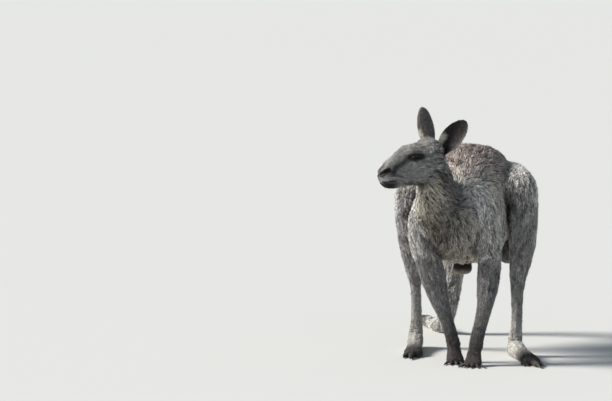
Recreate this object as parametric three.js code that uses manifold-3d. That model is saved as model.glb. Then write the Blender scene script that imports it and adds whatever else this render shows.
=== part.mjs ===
// A male eastern grey kangaroo, life size, standing on all fours and its tail, head turned to its right.
//
// Millimetres, +Z up. The animal faces -Y, its left side is +X. The body is a set of lofts through a few
// cross-sections each, and every part is cut back by its neighbours, so the parts meet with a thin gap.
// In the end the whole animal is moved so that its box stands centred on the origin.

import * as THREE from 'three';
import { mergeVertices } from 'three/addons/utils/BufferGeometryUtils.js';
import Module from 'manifold-3d';

const wasm = await Module();
wasm.setup();

// ---------------------------------------------------------------- driving dimensions

const GAP = 0.3; // between two parts that meet
const FLOOR = 0; // level of the soles, palms and the underside of the tail

const SPINE = 22; // the rump stands this far to the left of the chest
const CHEST_END = 205; // the ribs end here, measured backwards from the shoulder
const BELLY_END = 425;

const NOSE_PLACE = [-236, -100, 643];
const HEAD_TURN = -60; // degrees from straight ahead, to the animal's right
const EYE = { across: 40, back: 112, high: 45, radius: 13 };
const EAR_LENGTH = 132;
const EAR_HALF_WIDTH = 33;
const EAR_WALL = 4;
const EARS = {
  // the left ear opens forwards, the right one is turned back and shows its outer side
  left: { base: [-46, -32, 706], tip: [36, -24, 800], opening: [-0.28, -0.95, 0.2] },
  right: { base: [-86, 22, 716], tip: [-106, 36, 846], opening: [-0.78, 0.62, 0] },
};

const ELBOW_LEVEL = 352;
const TAIL_CUT_LEVEL = 262; // root and middle lengths of the tail part here
const TAIL_CUT_BACK = 862; // the end length begins here, on the ground

const HEEL_LEFT = [177, 285];
const HEEL_RIGHT = [-154, 459];
const FOOT_TURN_LEFT = 17.5; // degrees, toes outwards
const FOOT_TURN_RIGHT = 2; // the right foot points almost straight ahead, slightly inwards

const WRIST_LEFT = [69, 19];
const WRIST_RIGHT = [-2, 80];
const HAND_TURN_LEFT = -4; // both hands point a little inwards
const HAND_TURN_RIGHT = 12;

// ---------------------------------------------------------------- colours and finishes

const coat = (colour) => new THREE.MeshStandardMaterial({ color: colour, roughness: 0.95, metalness: 0 });
const BACK_COAT = coat('#83766c');
const FACE_COAT = coat('#837d7b');
const BELLY_COAT = coat('#8d877c');
const LIMB_COAT = coat('#8f877d');
const PAW_COAT = coat('#3b332f');
const EAR_COAT = coat('#5a4a48');
const HORN = new THREE.MeshStandardMaterial({ color: '#1b1817', roughness: 0.45, metalness: 0 });
const EYEBALL = new THREE.MeshStandardMaterial({ color: '#1a1009', roughness: 0.08, metalness: 0 });

// ---------------------------------------------------------------- lofts

const AXIS_X = new THREE.Vector3(1, 0, 0);
const AXIS_Y = new THREE.Vector3(0, 1, 0);
const AXIS_Z = new THREE.Vector3(0, 0, 1);

// One number of a row of stations, read past either end along the last straight.
function entry(rows, index, column) {
  const last = rows.length - 1;
  if (index < 0) return 2 * rows[0][column] - rows[1][column];
  if (index > last) return 2 * rows[last][column] - rows[last - 1][column];
  return rows[index][column];
}

// Smooth values between stations; place runs from 0 to rows.length - 1.
function between(rows, place) {
  const index = Math.min(Math.floor(place), rows.length - 2);
  const t = place - index;
  return rows[0].map((_, column) => {
    const a = entry(rows, index - 1, column);
    const b = entry(rows, index, column);
    const c = entry(rows, index + 1, column);
    const d = entry(rows, index + 2, column);
    const bend = (2 * a - 5 * b + 4 * c - d) * t * t + (3 * b - a - 3 * c + d) * t * t * t;
    return 0.5 * (2 * b + (c - a) * t + bend);
  });
}

// A closed body from rings of points with a point at each end, always facing outwards.
function closedBody(rings, startPoint, endPoint) {
  const sides = rings[0].length;
  const points = [startPoint, ...rings.flat(), endPoint];
  const end = points.length - 1;
  const faces = [];
  for (let j = 0; j < sides; j += 1) {
    const next = (j + 1) % sides;
    faces.push([0, 1 + next, 1 + j]);
    for (let i = 0; i < rings.length - 1; i += 1) {
      const near = 1 + i * sides;
      const far = near + sides;
      faces.push([near + j, near + next, far + next]);
      faces.push([near + j, far + next, far + j]);
    }
    faces.push([end - sides + j, end - sides + next, end]);
  }
  const volume = faces.reduce((sum, [a, b, c]) => {
    const normal = new THREE.Vector3().crossVectors(points[b], points[c]);
    return sum + points[a].dot(normal);
  }, 0);
  const geometry = new THREE.BufferGeometry();
  geometry.setAttribute('position', new THREE.Float32BufferAttribute(points.flatMap((p) => p.toArray()), 3));
  geometry.setIndex(faces.flatMap((face) => (volume < 0 ? face.reverse() : face)));
  return geometry;
}

// A rounded body through stations [x, y, z, side, over, under]. `rise` is the direction that `over`
// points to; `side` is the half-width across it. The ends are domes of the given lengths.
function loft(rows, options) {
  const { rise = AXIS_Z, sides = 16, steps = 3, startCap = 10, endCap = 10 } = options;
  const { power = 2.2, grow = 0, bumps = [], domeRings = 2 } = options;
  const last = rows.length - 1;
  const frameAt = (place) => {
    const [x, y, z, side, over, under] = between(rows, place);
    const ahead = between(rows, Math.min(place + 0.05, last));
    const behind = between(rows, Math.max(place - 0.05, 0));
    const along = new THREE.Vector3(ahead[0] - behind[0], ahead[1] - behind[1], ahead[2] - behind[2]);
    along.normalize();
    const across = new THREE.Vector3().crossVectors(along, rise).normalize();
    const up = new THREE.Vector3().crossVectors(across, along);
    const centre = new THREE.Vector3(x, y, z);
    return { centre, along, across, up, side: side + grow, over: over + grow, under: under + grow };
  };
  const ring = (frame, shift, scale) => {
    const centre = frame.centre.clone().addScaledVector(frame.along, shift);
    return Array.from({ length: sides }, (_, j) => {
      const angle = (2 * Math.PI * (j + 0.5)) / sides;
      const c = Math.cos(angle);
      const s = Math.sin(angle);
      const wide = scale * frame.side * Math.sign(c) * Math.abs(c) ** (2 / power);
      const height = s > 0 ? frame.over : frame.under;
      const high = scale * height * Math.sign(s) * Math.abs(s) ** (2 / power);
      const point = centre.clone().addScaledVector(frame.across, wide).addScaledVector(frame.up, high);
      const outward = point.clone().sub(centre).normalize();
      for (const { at, reach, push } of bumps) {
        const distance = point.distanceTo(new THREE.Vector3(...at));
        point.addScaledVector(outward, push * Math.exp(-((distance / reach) ** 2)));
      }
      return point;
    });
  };
  const rings = [];
  const first = frameAt(0);
  for (let k = domeRings; k > 0; k -= 1) {
    const angle = (k / (domeRings + 1)) * (Math.PI / 2);
    rings.push(ring(first, -(startCap + grow) * Math.sin(angle), Math.cos(angle)));
  }
  for (let k = 0; k <= last * steps; k += 1) {
    rings.push(ring(frameAt(k / steps), 0, 1));
  }
  const final = frameAt(last);
  for (let k = 1; k <= domeRings; k += 1) {
    const angle = (k / (domeRings + 1)) * (Math.PI / 2);
    rings.push(ring(final, (endCap + grow) * Math.sin(angle), Math.cos(angle)));
  }
  const startPoint = first.centre.clone().addScaledVector(first.along, -(startCap + grow));
  const endPoint = final.centre.clone().addScaledVector(final.along, endCap + grow);
  return solid(closedBody(rings, startPoint, endPoint));
}

// ---------------------------------------------------------------- solids and cuts

function solid(geometry) {
  geometry.deleteAttribute('normal');
  geometry.deleteAttribute('uv');
  const merged = mergeVertices(geometry);
  const mesh = new wasm.Mesh({
    numProp: 3,
    vertProperties: new Float32Array(merged.attributes.position.array),
    triVerts: new Uint32Array(merged.index.array),
  });
  return new wasm.Manifold(mesh);
}

function cutBy(body, ...others) {
  return largest(others.reduce((rest, other) => rest.subtract(other), body));
}

function joined(...bodies) {
  return bodies.reduce((sum, body) => sum.add(body));
}

function largest(body) {
  return body.decompose().reduce((best, piece) => (piece.volume() > best.volume() ? piece : best));
}

// What lies beyond a plane: `normal` points to the side that is kept.
function keepBeyond(body, normal, level) {
  return body.trimByPlane(normal, level);
}

function keepAbove(body, level) {
  return keepBeyond(body, [0, 0, 1], level);
}

function keepBelow(body, level) {
  return keepBeyond(body, [0, 0, -1], -level);
}

function keepBehind(body, level) {
  return keepBeyond(body, [0, 1, 0], level);
}

function keepBefore(body, level) {
  return keepBeyond(body, [0, -1, 0], -level);
}

// ---------------------------------------------------------------- trunk

const trunkStations = [
  // centre x, y, z, half-width, height above, depth below
  [0, 10, 464, 82, 82, 98],
  [3, 72, 466, 112, 132, 120],
  [9, 145, 469, 136, 173, 139],
  [17, 225, 472, 154, 199, 160],
  [SPINE + 1, 310, 478, 163, 219, 168],
  [SPINE + 1, 395, 492, 164, 214, 168],
  [SPINE, 480, 508, 158, 186, 152],
  [15, 565, 512, 130, 146, 120],
  [8, 635, 500, 95, 108, 88],
];

const trunkBumps = [
  { at: [105, 420, 655], reach: 75, push: 6 }, // the back is broad over the loins
  { at: [-65, 420, 655], reach: 75, push: 6 },
];

const trunk = (grow) => loft(trunkStations, {
  sides: 18, steps: 2, startCap: 52, endCap: 52, power: 2.5, grow, bumps: trunkBumps,
});

// ---------------------------------------------------------------- head, ears and eyes

// Head stations run backwards from the nose; across, back and high are the head's own directions.
const headStations = [
  [0, 4, -9, 19, 24, 27],
  [0, 20, -11, 25, 40, 42],
  [0, 44, -7, 29, 52, 50],
  [0, 66, -1, 33, 57, 52],
  [0, 90, 8, 42, 64, 58],
  [0, 112, 16, 50, 68, 64],
  [0, 140, 20, 55, 70, 69],
  [0, 172, 22, 57, 69, 70],
  [0, 202, 24, 50, 56, 60],
  [0, 222, 24, 38, 40, 44],
];

const bothSides = ({ at: [x, y, z], ...bump }) => [{ at: [x, y, z], ...bump }, { at: [-x, y, z], ...bump }];

const headBumps = [
  ...bothSides({ at: [34, 100, 68], reach: 20, push: 7 }), // brow
  ...bothSides({ at: [42, 88, 36], reach: 16, push: -5 }), // hollow before the eye
  ...bothSides({ at: [54, 128, 12], reach: 34, push: 5 }), // cheekbone
  ...bothSides({ at: [33, 58, 12], reach: 22, push: -3 }), // narrowing of the muzzle
  ...bothSides({ at: [16, 6, 0], reach: 12, push: 2 }), // wings of the nose
  ...bothSides({ at: [28, 188, 90], reach: 32, push: 23 }), // thick fur round the roots of the ears
];

const headTurn = THREE.MathUtils.degToRad(HEAD_TURN);

function placedOnHead(body) {
  return body.rotate([0, 0, HEAD_TURN]).translate(NOSE_PLACE);
}

function headPoint(across, back, high) {
  return new THREE.Vector3(across, back, high).applyAxisAngle(AXIS_Z, headTurn)
    .add(new THREE.Vector3(...NOSE_PLACE));
}

const wholeHead = (grow) => placedOnHead(loft(headStations, {
  sides: 18, steps: 2, startCap: 6, endCap: 14, power: 2.3, grow, bumps: headBumps,
}));

const neckStations = [
  [-8, 74, 440, 82, 84, 90],
  [-44, 30, 520, 79, 88, 86],
  [-60, 4, 596, 61, 70, 66],
  [-62, -4, 655, 48, 52, 52],
];

const wholeNeck = (grow) => loft(neckStations, {
  rise: AXIS_Y, sides: 12, steps: 2, startCap: 30, endCap: 20, grow,
});

function eyeball(sign, grow) {
  const ball = new THREE.SphereGeometry(EYE.radius + grow, 10, 7);
  return solid(ball).translate(headPoint(sign * EYE.across, EYE.back, EYE.high).toArray());
}

// An ear is a cupped leaf. Along it, half-width and cup depth follow these shares of its full size.
const earShape = [
  // along, half-width, cup depth, wall
  [-0.05, 0.42, 0.56, 1.5],
  [0.12, 0.66, 0.7, 1.3],
  [0.32, 0.94, 0.64, 1.1],
  [0.52, 1.0, 0.52, 1],
  [0.72, 0.87, 0.38, 0.9],
  [0.87, 0.62, 0.24, 0.8],
  [0.96, 0.35, 0.12, 0.7],
];
const EAR_ARC_POINTS = 6;

function ear({ base, tip, opening }) {
  const start = new THREE.Vector3(...base);
  const along = new THREE.Vector3(...tip).sub(start).normalize();
  const across = new THREE.Vector3().crossVectors(along, new THREE.Vector3(...opening)).normalize();
  const open = new THREE.Vector3().crossVectors(across, along);
  const pointAt = (share, wide, deep) => start.clone()
    .addScaledVector(along, share * EAR_LENGTH)
    .addScaledVector(across, wide)
    .addScaledVector(open, -deep);
  const rings = [];
  const rows = earShape.length - 1;
  for (let k = 0; k <= rows; k += 1) {
    const [share, width, cup, wall] = earShape[k];
    const half = width * EAR_HALF_WIDTH;
    const depth = cup * EAR_HALF_WIDTH;
    const thick = (wall * EAR_WALL) / 2;
    const outer = [];
    const inner = [];
    for (let j = 0; j <= EAR_ARC_POINTS; j += 1) {
      const turn = (j / EAR_ARC_POINTS - 0.5) * Math.PI;
      const bend = Math.cos(turn);
      const lean = Math.sin(turn);
      outer.push(pointAt(share, (half + thick) * lean, depth * bend + thick * bend));
      if (j > 0 && j < EAR_ARC_POINTS) {
        inner.push(pointAt(share, (half - thick) * lean, Math.max(depth - thick, thick * 0.2) * bend));
      }
    }
    rings.push([...outer, ...inner.reverse()]);
  }
  const root = pointAt(earShape[0][0] - 0.02, 0, earShape[0][2] * EAR_HALF_WIDTH);
  const point = pointAt(1, 0, 0);
  return solid(closedBody(rings, root, point));
}

// ---------------------------------------------------------------- tail

// Radius of the tail is the same every way round; it stands on the ground at its bend and lies behind it.
const tailPath = [
  [10, 570, 546, 96],
  [0, 652, 504, 78],
  [-14, 726, 426, 60],
  [-31, 776, 330, 46],
  [-47, 798, 228, 37.5],
  [-59, 792, 122, 32],
  [-71, 792, 57, 28],
  [-91, 832, 24, 26],
  [-122, 914, 21, 23],
  [-151, 998, 19, 21],
  [-176, 1078, 15, 17],
];

const tailStations = tailPath.map(([x, y, z, radius]) => [x, y, z, radius, radius, radius]);
const wholeTail = loft(tailStations, {
  rise: AXIS_X, sides: 10, steps: 2, startCap: 20, endCap: 16, power: 2,
});

// ---------------------------------------------------------------- limbs

// Thighs run from the hip forwards to the knee, `over` is the upper side.
const thighStations = {
  left: [
    [84, 596, 488, 64, 96, 92],
    [118, 520, 500, 82, 128, 158],
    [154, 412, 508, 84, 132, 214],
    [190, 296, 538, 71, 98, 168],
    [208, 226, 556, 55, 70, 90],
  ],
  right: [
    [-52, 600, 488, 64, 96, 92],
    [-82, 528, 500, 80, 128, 158],
    [-112, 428, 506, 84, 130, 210],
    [-147, 334, 532, 65, 98, 164],
    [-163, 282, 546, 50, 70, 90],
  ],
};

// Shanks run down from the knee to the ankle, `over` is the back (calf and Achilles tendon) side.
const shankStations = {
  left: [
    [208, 230, 560, 49, 54, 54],
    [215, 243, 470, 51, 64, 58],
    [216, 248, 385, 46, 58, 48],
    [209, 247, 320, 38, 46, 37],
    [201, 244, 267, 28, 36, 30],
    [199, 241, 212, 20, 28, 24],
    [198.5, 239, 148, 18, 25, 21],
    [197, 238, 95, 19.5, 27, 22],
    [192, 242, 50, 25, 30, 26],
  ],
  right: [
    [-166, 288, 555, 46, 54, 54],
    [-166, 312, 470, 47, 62, 56],
    [-165, 332, 400, 46, 57, 48],
    [-160, 348, 335, 40, 48, 38],
    [-154, 365, 275, 30, 36, 30],
    [-150, 378, 215, 17.5, 28, 24],
    [-149, 392, 150, 17.5, 25, 21],
    [-149, 405, 95, 19.5, 27, 22],
    [-152, 414, 52, 25, 29, 26],
  ],
};

// Upper arms run down from the shoulder, forearms from the elbow to the wrist; `over` is the back.
const upperArmStations = {
  left: [
    [74, 76, 546, 44, 62, 52],
    [94, 50, 482, 52, 72, 62],
    [107, 52, 418, 48, 62, 56],
    [116, 58, 352, 40, 46, 43],
  ],
  right: [
    [-74, 80, 540, 50, 62, 52],
    [-94, 58, 482, 56, 72, 62],
    [-102, 64, 418, 50, 62, 56],
    [-93, 69, 352, 45, 46, 43],
  ],
};

const forearmStations = {
  left: [
    [117, 56, 368, 39.5, 46, 42],
    [114.5, 50, 308, 39, 42, 38],
    [109.5, 42, 247, 35.5, 36, 33],
    [101, 34, 190, 26, 28, 26],
    [89, 27, 137, 22.5, 24, 22],
    [78, 22, 92, 23, 22, 20],
    [73, 19, 58, 24, 22, 20],
  ],
  right: [
    [-93, 70, 368, 45, 46, 42],
    [-72, 70, 290, 43, 42, 38],
    [-59, 71, 243, 38, 36, 33],
    [-42, 73, 187, 28.5, 28, 26],
    [-25, 76, 140, 22, 24, 22],
    [-10, 79, 88, 21.5, 22, 20],
    [-2, 80, 58, 23.5, 22, 20],
  ],
};

const thighBumps = {
  left: [{ at: [222, 430, 606], reach: 60, push: 9 }], // outer edge of the haunch
  right: [{ at: [-178, 440, 606], reach: 60, push: 9 }],
};

const thigh = (side, grow) => loft(thighStations[side], {
  sides: 14, steps: 2, startCap: 36, endCap: 46, power: 2.3, grow, bumps: thighBumps[side],
});

const shank = (side, grow) => loft(shankStations[side], {
  rise: AXIS_Y, sides: 10, steps: 1, startCap: 42, endCap: 20, grow,
});

const upperArm = (side, grow) => loft(upperArmStations[side], {
  rise: AXIS_Y, sides: 10, steps: 2, startCap: 40, endCap: 40, grow,
});

const forearm = (side, grow) => loft(forearmStations[side], {
  rise: AXIS_Y, sides: 10, steps: 1, startCap: 30, endCap: 16, grow,
});

// A curved claw: its flat base faces the end of the toe and it drops towards its point. It points to -Y.
const CLAW_STEPS = [0, 0.4, 0.75];
const CLAW_TAPER = 0.7; // below 1 the claw stays thick until close to its point
const CLAW_BEND = 2.2; // above 1 it bends down more towards its point
const CLAW_CLEARANCE = 0.35; // its point ends this share of its radius above the floor
const CLAW_NARROWNESS = 0.8; // width over height
const CLAW_POINT = 0.25; // share of the length that is the point

function claw(base, length, radius, turn) {
  const drop = base[2] - FLOOR - radius * CLAW_CLEARANCE;
  const endCap = length * CLAW_POINT;
  const rows = CLAW_STEPS.map((share) => {
    const size = radius * (1 - share) ** CLAW_TAPER;
    return [0, -length * share, -drop * share ** CLAW_BEND, size * CLAW_NARROWNESS, size, size];
  });
  return loft(rows, { sides: 5, steps: 1, startCap: 0, endCap, power: 2, domeRings: 0 })
    .rotate([0, 0, turn])
    .translate(base);
}

// The long hind foot, heel at the origin and toes to -Y. `outer` is the sign of its outer side.
const soleStations = [
  [0, -22, 27, 22, 26, 30],
  [0, -50, 29, 27, 36, 32],
  [0, -88, 26, 27, 32, 29],
  [0, -145, 21, 25, 24, 24],
  [0, -205, 18, 27, 19, 21],
  [0, -244, 16, 32, 16, 19],
  [0, -262, 14, 31, 13, 17],
];

const TOE_TAPER = 0.25; // a toe's tip is this much thinner than its root
const TOE_SINK = 0.9; // its middle is this share of its radius above the floor, so that its pad is flat
const TOE_NARROWNESS = 0.92; // width over height
const hindToes = [
  { number: 4, root: [3, -250], tip: [6, -312], radius: 13.5, clawLength: 36, clawRadius: 7.5 },
  { number: 5, root: [24.5, -240], tip: [29, -286], radius: 9, clawLength: 24, clawRadius: 5.2 },
  { number: 3, root: [-15.5, -238], tip: [-18, -281], radius: 5.2, clawLength: 15, clawRadius: 3.2 },
  { number: 2, root: [-26.5, -232], tip: [-29.5, -277], radius: 5.2, clawLength: 15, clawRadius: 3.2 },
];

function toe({ root, tip, radius }, outer) {
  const rows = [root, tip].map(([across, back], end) => {
    const size = radius * (1 - TOE_TAPER * end);
    return [outer * across, back, FLOOR + size * TOE_SINK, size * TOE_NARROWNESS, size, size];
  });
  return loft(rows, { sides: 6, steps: 1, startCap: 0, endCap: 0, power: 2, domeRings: 0 });
}

function toeClaw({ root, tip, radius, clawLength, clawRadius }, outer) {
  const aside = outer * (tip[0] - root[0]);
  const ahead = root[1] - tip[1];
  const gapShare = GAP / Math.hypot(aside, ahead);
  const level = FLOOR + radius * (1 - TOE_TAPER);
  const base = [outer * tip[0] + aside * gapShare, tip[1] - ahead * gapShare, level];
  return claw(base, clawLength, clawRadius, THREE.MathUtils.radToDeg(Math.atan2(aside, ahead)));
}

function placedFoot(body, heel, turn) {
  return body.rotate([0, 0, turn]).translate([heel[0], heel[1], 0]);
}

// The hand, wrist at the origin and fingers to -Y.
const palmStations = [
  [0, 2, 46, 22, 22, 20],
  [0, -13, 28, 26, 20, 20],
  [0, -27, 18, 30, 15, 19],
  [0, -38, 14, 30, 11, 16],
];
const FINGERS = 5;
const FINGER_SPACING = 12.2;
const FINGER_SPREAD = 12; // degrees between neighbours
const FINGER_LENGTH = 33;
const FINGER_SHORTER = 2.5; // each finger out from the middle one is this much shorter
const KNUCKLES = -36; // and its knuckle lies further back
const KNUCKLE_CURVE = 3;
const FINGER = { radius: 6.6, clawLength: 22, clawRadius: 4 };

const fingers = Array.from({ length: FINGERS }, (_, k) => {
  const place = k - (FINGERS - 1) / 2;
  const turn = THREE.MathUtils.degToRad(place * FINGER_SPREAD);
  const length = FINGER_LENGTH - FINGER_SHORTER * Math.abs(place);
  const root = [place * FINGER_SPACING, KNUCKLES + KNUCKLE_CURVE * Math.abs(place)];
  const tip = [root[0] + length * Math.sin(turn), root[1] - length * Math.cos(turn)];
  return { number: k + 1, root, tip, ...FINGER };
});

// ---------------------------------------------------------------- assembly of the solids

const limbs = {
  left: {
    outer: 1, heel: HEEL_LEFT, footTurn: FOOT_TURN_LEFT, wrist: WRIST_LEFT, handTurn: HAND_TURN_LEFT,
  },
  right: {
    outer: -1, heel: HEEL_RIGHT, footTurn: FOOT_TURN_RIGHT, wrist: WRIST_RIGHT, handTurn: HAND_TURN_RIGHT,
  },
};

const group = new THREE.Group();

function addPart(name, body, material) {
  const { vertProperties, triVerts } = body.getMesh();
  const geometry = new THREE.BufferGeometry();
  geometry.setAttribute('position', new THREE.BufferAttribute(new Float32Array(vertProperties), 3));
  geometry.setIndex(new THREE.BufferAttribute(new Uint32Array(triVerts), 1));
  geometry.computeVertexNormals();
  const mesh = new THREE.Mesh(geometry, material);
  mesh.name = name;
  group.add(mesh);
}

const half = GAP / 2;
const plainTrunk = trunk(0);
const grownTrunk = trunk(GAP);
const grownHead = wholeHead(GAP);
const grownNeck = wholeNeck(GAP);

addPart('chest', keepBefore(plainTrunk, CHEST_END - half), BELLY_COAT);
addPart('belly', keepBefore(keepBehind(plainTrunk, CHEST_END + half), BELLY_END - half), BACK_COAT);
addPart('rump', keepBehind(plainTrunk, BELLY_END + half), BACK_COAT);

addPart('neck', cutBy(wholeNeck(0), grownTrunk, grownHead), BELLY_COAT);
addPart('head', cutBy(wholeHead(0), eyeball(1, GAP), eyeball(-1, GAP)), FACE_COAT);
addPart('eye_left', eyeball(1, 0), EYEBALL);
addPart('eye_right', eyeball(-1, 0), EYEBALL);

addPart('ear_left', cutBy(ear(EARS.left), grownHead), EAR_COAT);
addPart('ear_right', cutBy(ear(EARS.right), grownHead), EAR_COAT);

const grownThighs = ['left', 'right'].map((side) => thigh(side, GAP));
const tail = cutBy(keepAbove(wholeTail, FLOOR), grownTrunk, ...grownThighs);
const tailLower = keepBelow(tail, TAIL_CUT_LEVEL - half);
addPart('tail_base', keepAbove(tail, TAIL_CUT_LEVEL + half), BACK_COAT);
addPart('tail_middle', keepBefore(tailLower, TAIL_CUT_BACK - half), BACK_COAT);
addPart('tail_tip', keepBehind(tailLower, TAIL_CUT_BACK + half), BACK_COAT);

const scrotumStations = [
  [8, 522, 372, 21, 21, 21],
  [5, 508, 314, 26, 24, 24],
  [1, 499, 266, 35, 29, 29],
];
const scrotum = loft(scrotumStations, {
  rise: AXIS_Y, sides: 10, steps: 1, startCap: 16, endCap: 22, power: 2,
});
addPart('scrotum', cutBy(scrotum, grownTrunk, ...grownThighs), PAW_COAT);

for (const [side, { outer, heel, footTurn, wrist, handTurn }] of Object.entries(limbs)) {
  addPart(`thigh_${side}`, cutBy(thigh(side, 0), grownTrunk), BACK_COAT);
  addPart(`shank_${side}`, cutBy(keepAbove(shank(side, 0), FLOOR), thigh(side, GAP), grownTrunk), LIMB_COAT);

  const toes = hindToes.map((row) => toe(row, outer));
  const hindClaws = hindToes.map((row) => placedFoot(toeClaw(row, outer), heel, footTurn));
  const sole = loft(soleStations, { sides: 10, steps: 1, startCap: 22, endCap: 10, domeRings: 1 });
  const foot = keepAbove(placedFoot(joined(sole, ...toes), heel, footTurn), FLOOR);
  addPart(`foot_${side}`, cutBy(foot, shank(side, GAP)), PAW_COAT);
  hindClaws.forEach((body, k) => {
    addPart(`claw_foot_${side}_${hindToes[k].number}`, keepAbove(body, FLOOR), HORN);
  });

  const armTop = keepAbove(upperArm(side, 0), ELBOW_LEVEL + half);
  const armLow = keepBelow(forearm(side, 0), ELBOW_LEVEL - half);
  addPart(`upper_arm_${side}`, cutBy(armTop, grownTrunk, grownNeck), LIMB_COAT);
  addPart(`forearm_${side}`, cutBy(armLow, grownTrunk), LIMB_COAT);

  const digits = fingers.map((row) => toe(row, outer));
  const fingerClaws = fingers.map((row) => placedFoot(toeClaw(row, outer), wrist, handTurn));
  const palm = loft(palmStations, { sides: 10, steps: 1, startCap: 12, endCap: 12, domeRings: 1 });
  const hand = keepAbove(placedFoot(joined(palm, ...digits), wrist, handTurn), FLOOR);
  addPart(`hand_${side}`, cutBy(hand, forearm(side, GAP)), PAW_COAT);
  fingerClaws.forEach((body, k) => {
    addPart(`claw_hand_${side}_${fingers[k].number}`, keepAbove(body, FLOOR), HORN);
  });
}

// Stand the animal's box centred on the origin.
const box = new THREE.Box3().setFromObject(group);
const centre = box.getCenter(new THREE.Vector3());
group.position.set(-centre.x, -centre.y, -box.min.z);
group.updateMatrixWorld(true);

export default group;
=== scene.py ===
# A male eastern grey kangaroo, life size, standing on all fours and its tail, head turned to its right.
#
# One soft skin takes the place of the solids of flesh, and the coat lies on it in tufts. Eyes and claws
# are pieces of their own. Metres, +Z up; the animal faces -Y and its left side is +X.
import math

import bmesh
import bpy
import numpy as np
import openvdb
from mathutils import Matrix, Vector
from mathutils.kdtree import KDTree


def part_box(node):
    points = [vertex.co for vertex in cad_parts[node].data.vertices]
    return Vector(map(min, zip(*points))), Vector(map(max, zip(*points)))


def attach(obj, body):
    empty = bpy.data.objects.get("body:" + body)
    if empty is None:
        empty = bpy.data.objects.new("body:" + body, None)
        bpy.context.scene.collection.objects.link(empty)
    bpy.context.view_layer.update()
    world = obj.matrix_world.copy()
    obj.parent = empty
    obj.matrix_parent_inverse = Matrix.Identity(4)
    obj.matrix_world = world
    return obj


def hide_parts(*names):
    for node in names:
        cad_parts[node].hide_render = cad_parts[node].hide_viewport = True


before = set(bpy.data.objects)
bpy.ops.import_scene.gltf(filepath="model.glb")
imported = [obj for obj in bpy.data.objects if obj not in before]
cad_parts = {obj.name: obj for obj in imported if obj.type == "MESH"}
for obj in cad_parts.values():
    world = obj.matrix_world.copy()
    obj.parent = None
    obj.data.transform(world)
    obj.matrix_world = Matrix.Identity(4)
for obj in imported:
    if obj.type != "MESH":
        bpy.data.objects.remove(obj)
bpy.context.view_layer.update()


# ------------------------------------------------------------------------------------------ the set
# A pale matt floor without an end, a broad key light from the animal's right, a weak fill from the
# front, and a long lens that stands eleven metres off at standing eye height.
CAMERA_PLACE = (0.6430, -11.4832, 1.55)
CAMERA_AIM = (-0.104, 0.990, -0.091)
CAMERA_LENS = 199.3
CAMERA_SENSOR = 36
CAMERA_SIGHT = 400
FLOOR_REACH = 90
FLOOR_COLOUR = (0.52, 0.52, 0.51, 1)
SKY_COLOUR = (0.72, 0.87, 1.0, 1)
SKY_STRENGTH = 0.36
SUNS = (  # name, direction, strength, spread in degrees, tint
    ("key", (0.83, 0.08, -0.55), 7.2, 18, (1.0, 0.965, 0.91)),
    ("fill", (-0.3, 0.9, -0.4), 0.25, 60, (0.86, 0.94, 1.0)),
)


def placed(name, data):
    thing = bpy.data.objects.new(name, data)
    bpy.context.scene.collection.objects.link(thing)
    return thing


def new_paint(name, fixed):
    """A material with its sockets that are the same all over, its node tree, and its shader's inputs."""
    paint = bpy.data.materials.new(name)
    paint.use_nodes = True
    inputs = paint.node_tree.nodes["Principled BSDF"].inputs
    for label, value in fixed.items():
        inputs[label].default_value = value
    return paint, paint.node_tree, inputs


floor_mesh = bpy.data.meshes.new("floor")
corners = [(sx * FLOOR_REACH, sy * FLOOR_REACH, 0) for sx, sy in ((-1, -1), (1, -1), (1, 1), (-1, 1))]
floor_mesh.from_pydata(corners, [], [(0, 1, 2, 3)])
floor_paint, _, _ = new_paint(
    "floor", {"Base Color": FLOOR_COLOUR, "Roughness": 0.9, "Specular IOR Level": 0.1})
floor_mesh.materials.append(floor_paint)
floor = placed("floor", floor_mesh)

camera_data = bpy.data.cameras.new("camera")
camera_data.lens = CAMERA_LENS
camera_data.sensor_width = CAMERA_SENSOR
camera_data.clip_end = CAMERA_SIGHT
camera = placed("camera", camera_data)
camera.location = CAMERA_PLACE
camera.rotation_euler = Vector(CAMERA_AIM).to_track_quat("-Z", "Y").to_euler()
bpy.context.scene.camera = camera

for name, direction, strength, spread, tint in SUNS:
    lamp = bpy.data.lights.new(name, "SUN")
    lamp.energy = strength
    lamp.angle = math.radians(spread)
    lamp.color = tint
    placed(name, lamp).rotation_euler = Vector(direction).to_track_quat("-Z", "Y").to_euler()

world = bpy.data.worlds.new("studio")
world.use_nodes = True
world.node_tree.nodes["Background"].inputs["Color"].default_value = SKY_COLOUR
world.node_tree.nodes["Background"].inputs["Strength"].default_value = SKY_STRENGTH
bpy.context.scene.world = world
bpy.context.scene.view_settings.view_transform = "Standard"


# ------------------------------------------------------------------------------------------ the skin
# Grey-brown hide over muscle, in one closed piece. The solids of flesh are wrapped in one surface,
# softened where they meet, more on the trunk than on the head and feet, and drawn in by the depth of
# the coat that lies on them. Then the face, lids, folds and creases are shaped.
MM = 0.001
FLESH = sorted(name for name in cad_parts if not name.startswith(("claw", "eye")))
GRAIN = 2.5 * MM  # mesh width of the wrap
WRAP = 1.6 * MM  # how far outside the solids it runs
WRAP_BAND = 3.0  # in mesh widths, on each side of the solids


def points_of(mesh):
    places = np.empty(len(mesh.vertices) * 3, np.float32)
    mesh.vertices.foreach_get("co", places)
    return places.reshape(-1, 3).astype(np.float64)


def faces_of(mesh):
    mesh.calc_loop_triangles()
    corners = np.empty(len(mesh.loop_triangles) * 3, np.int32)
    mesh.loop_triangles.foreach_get("vertices", corners)
    return corners.reshape(-1, 3).astype(np.int64)


def solid_of(name):
    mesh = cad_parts[name].data
    return points_of(mesh).astype(np.float32), faces_of(mesh).astype(np.int32)


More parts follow.
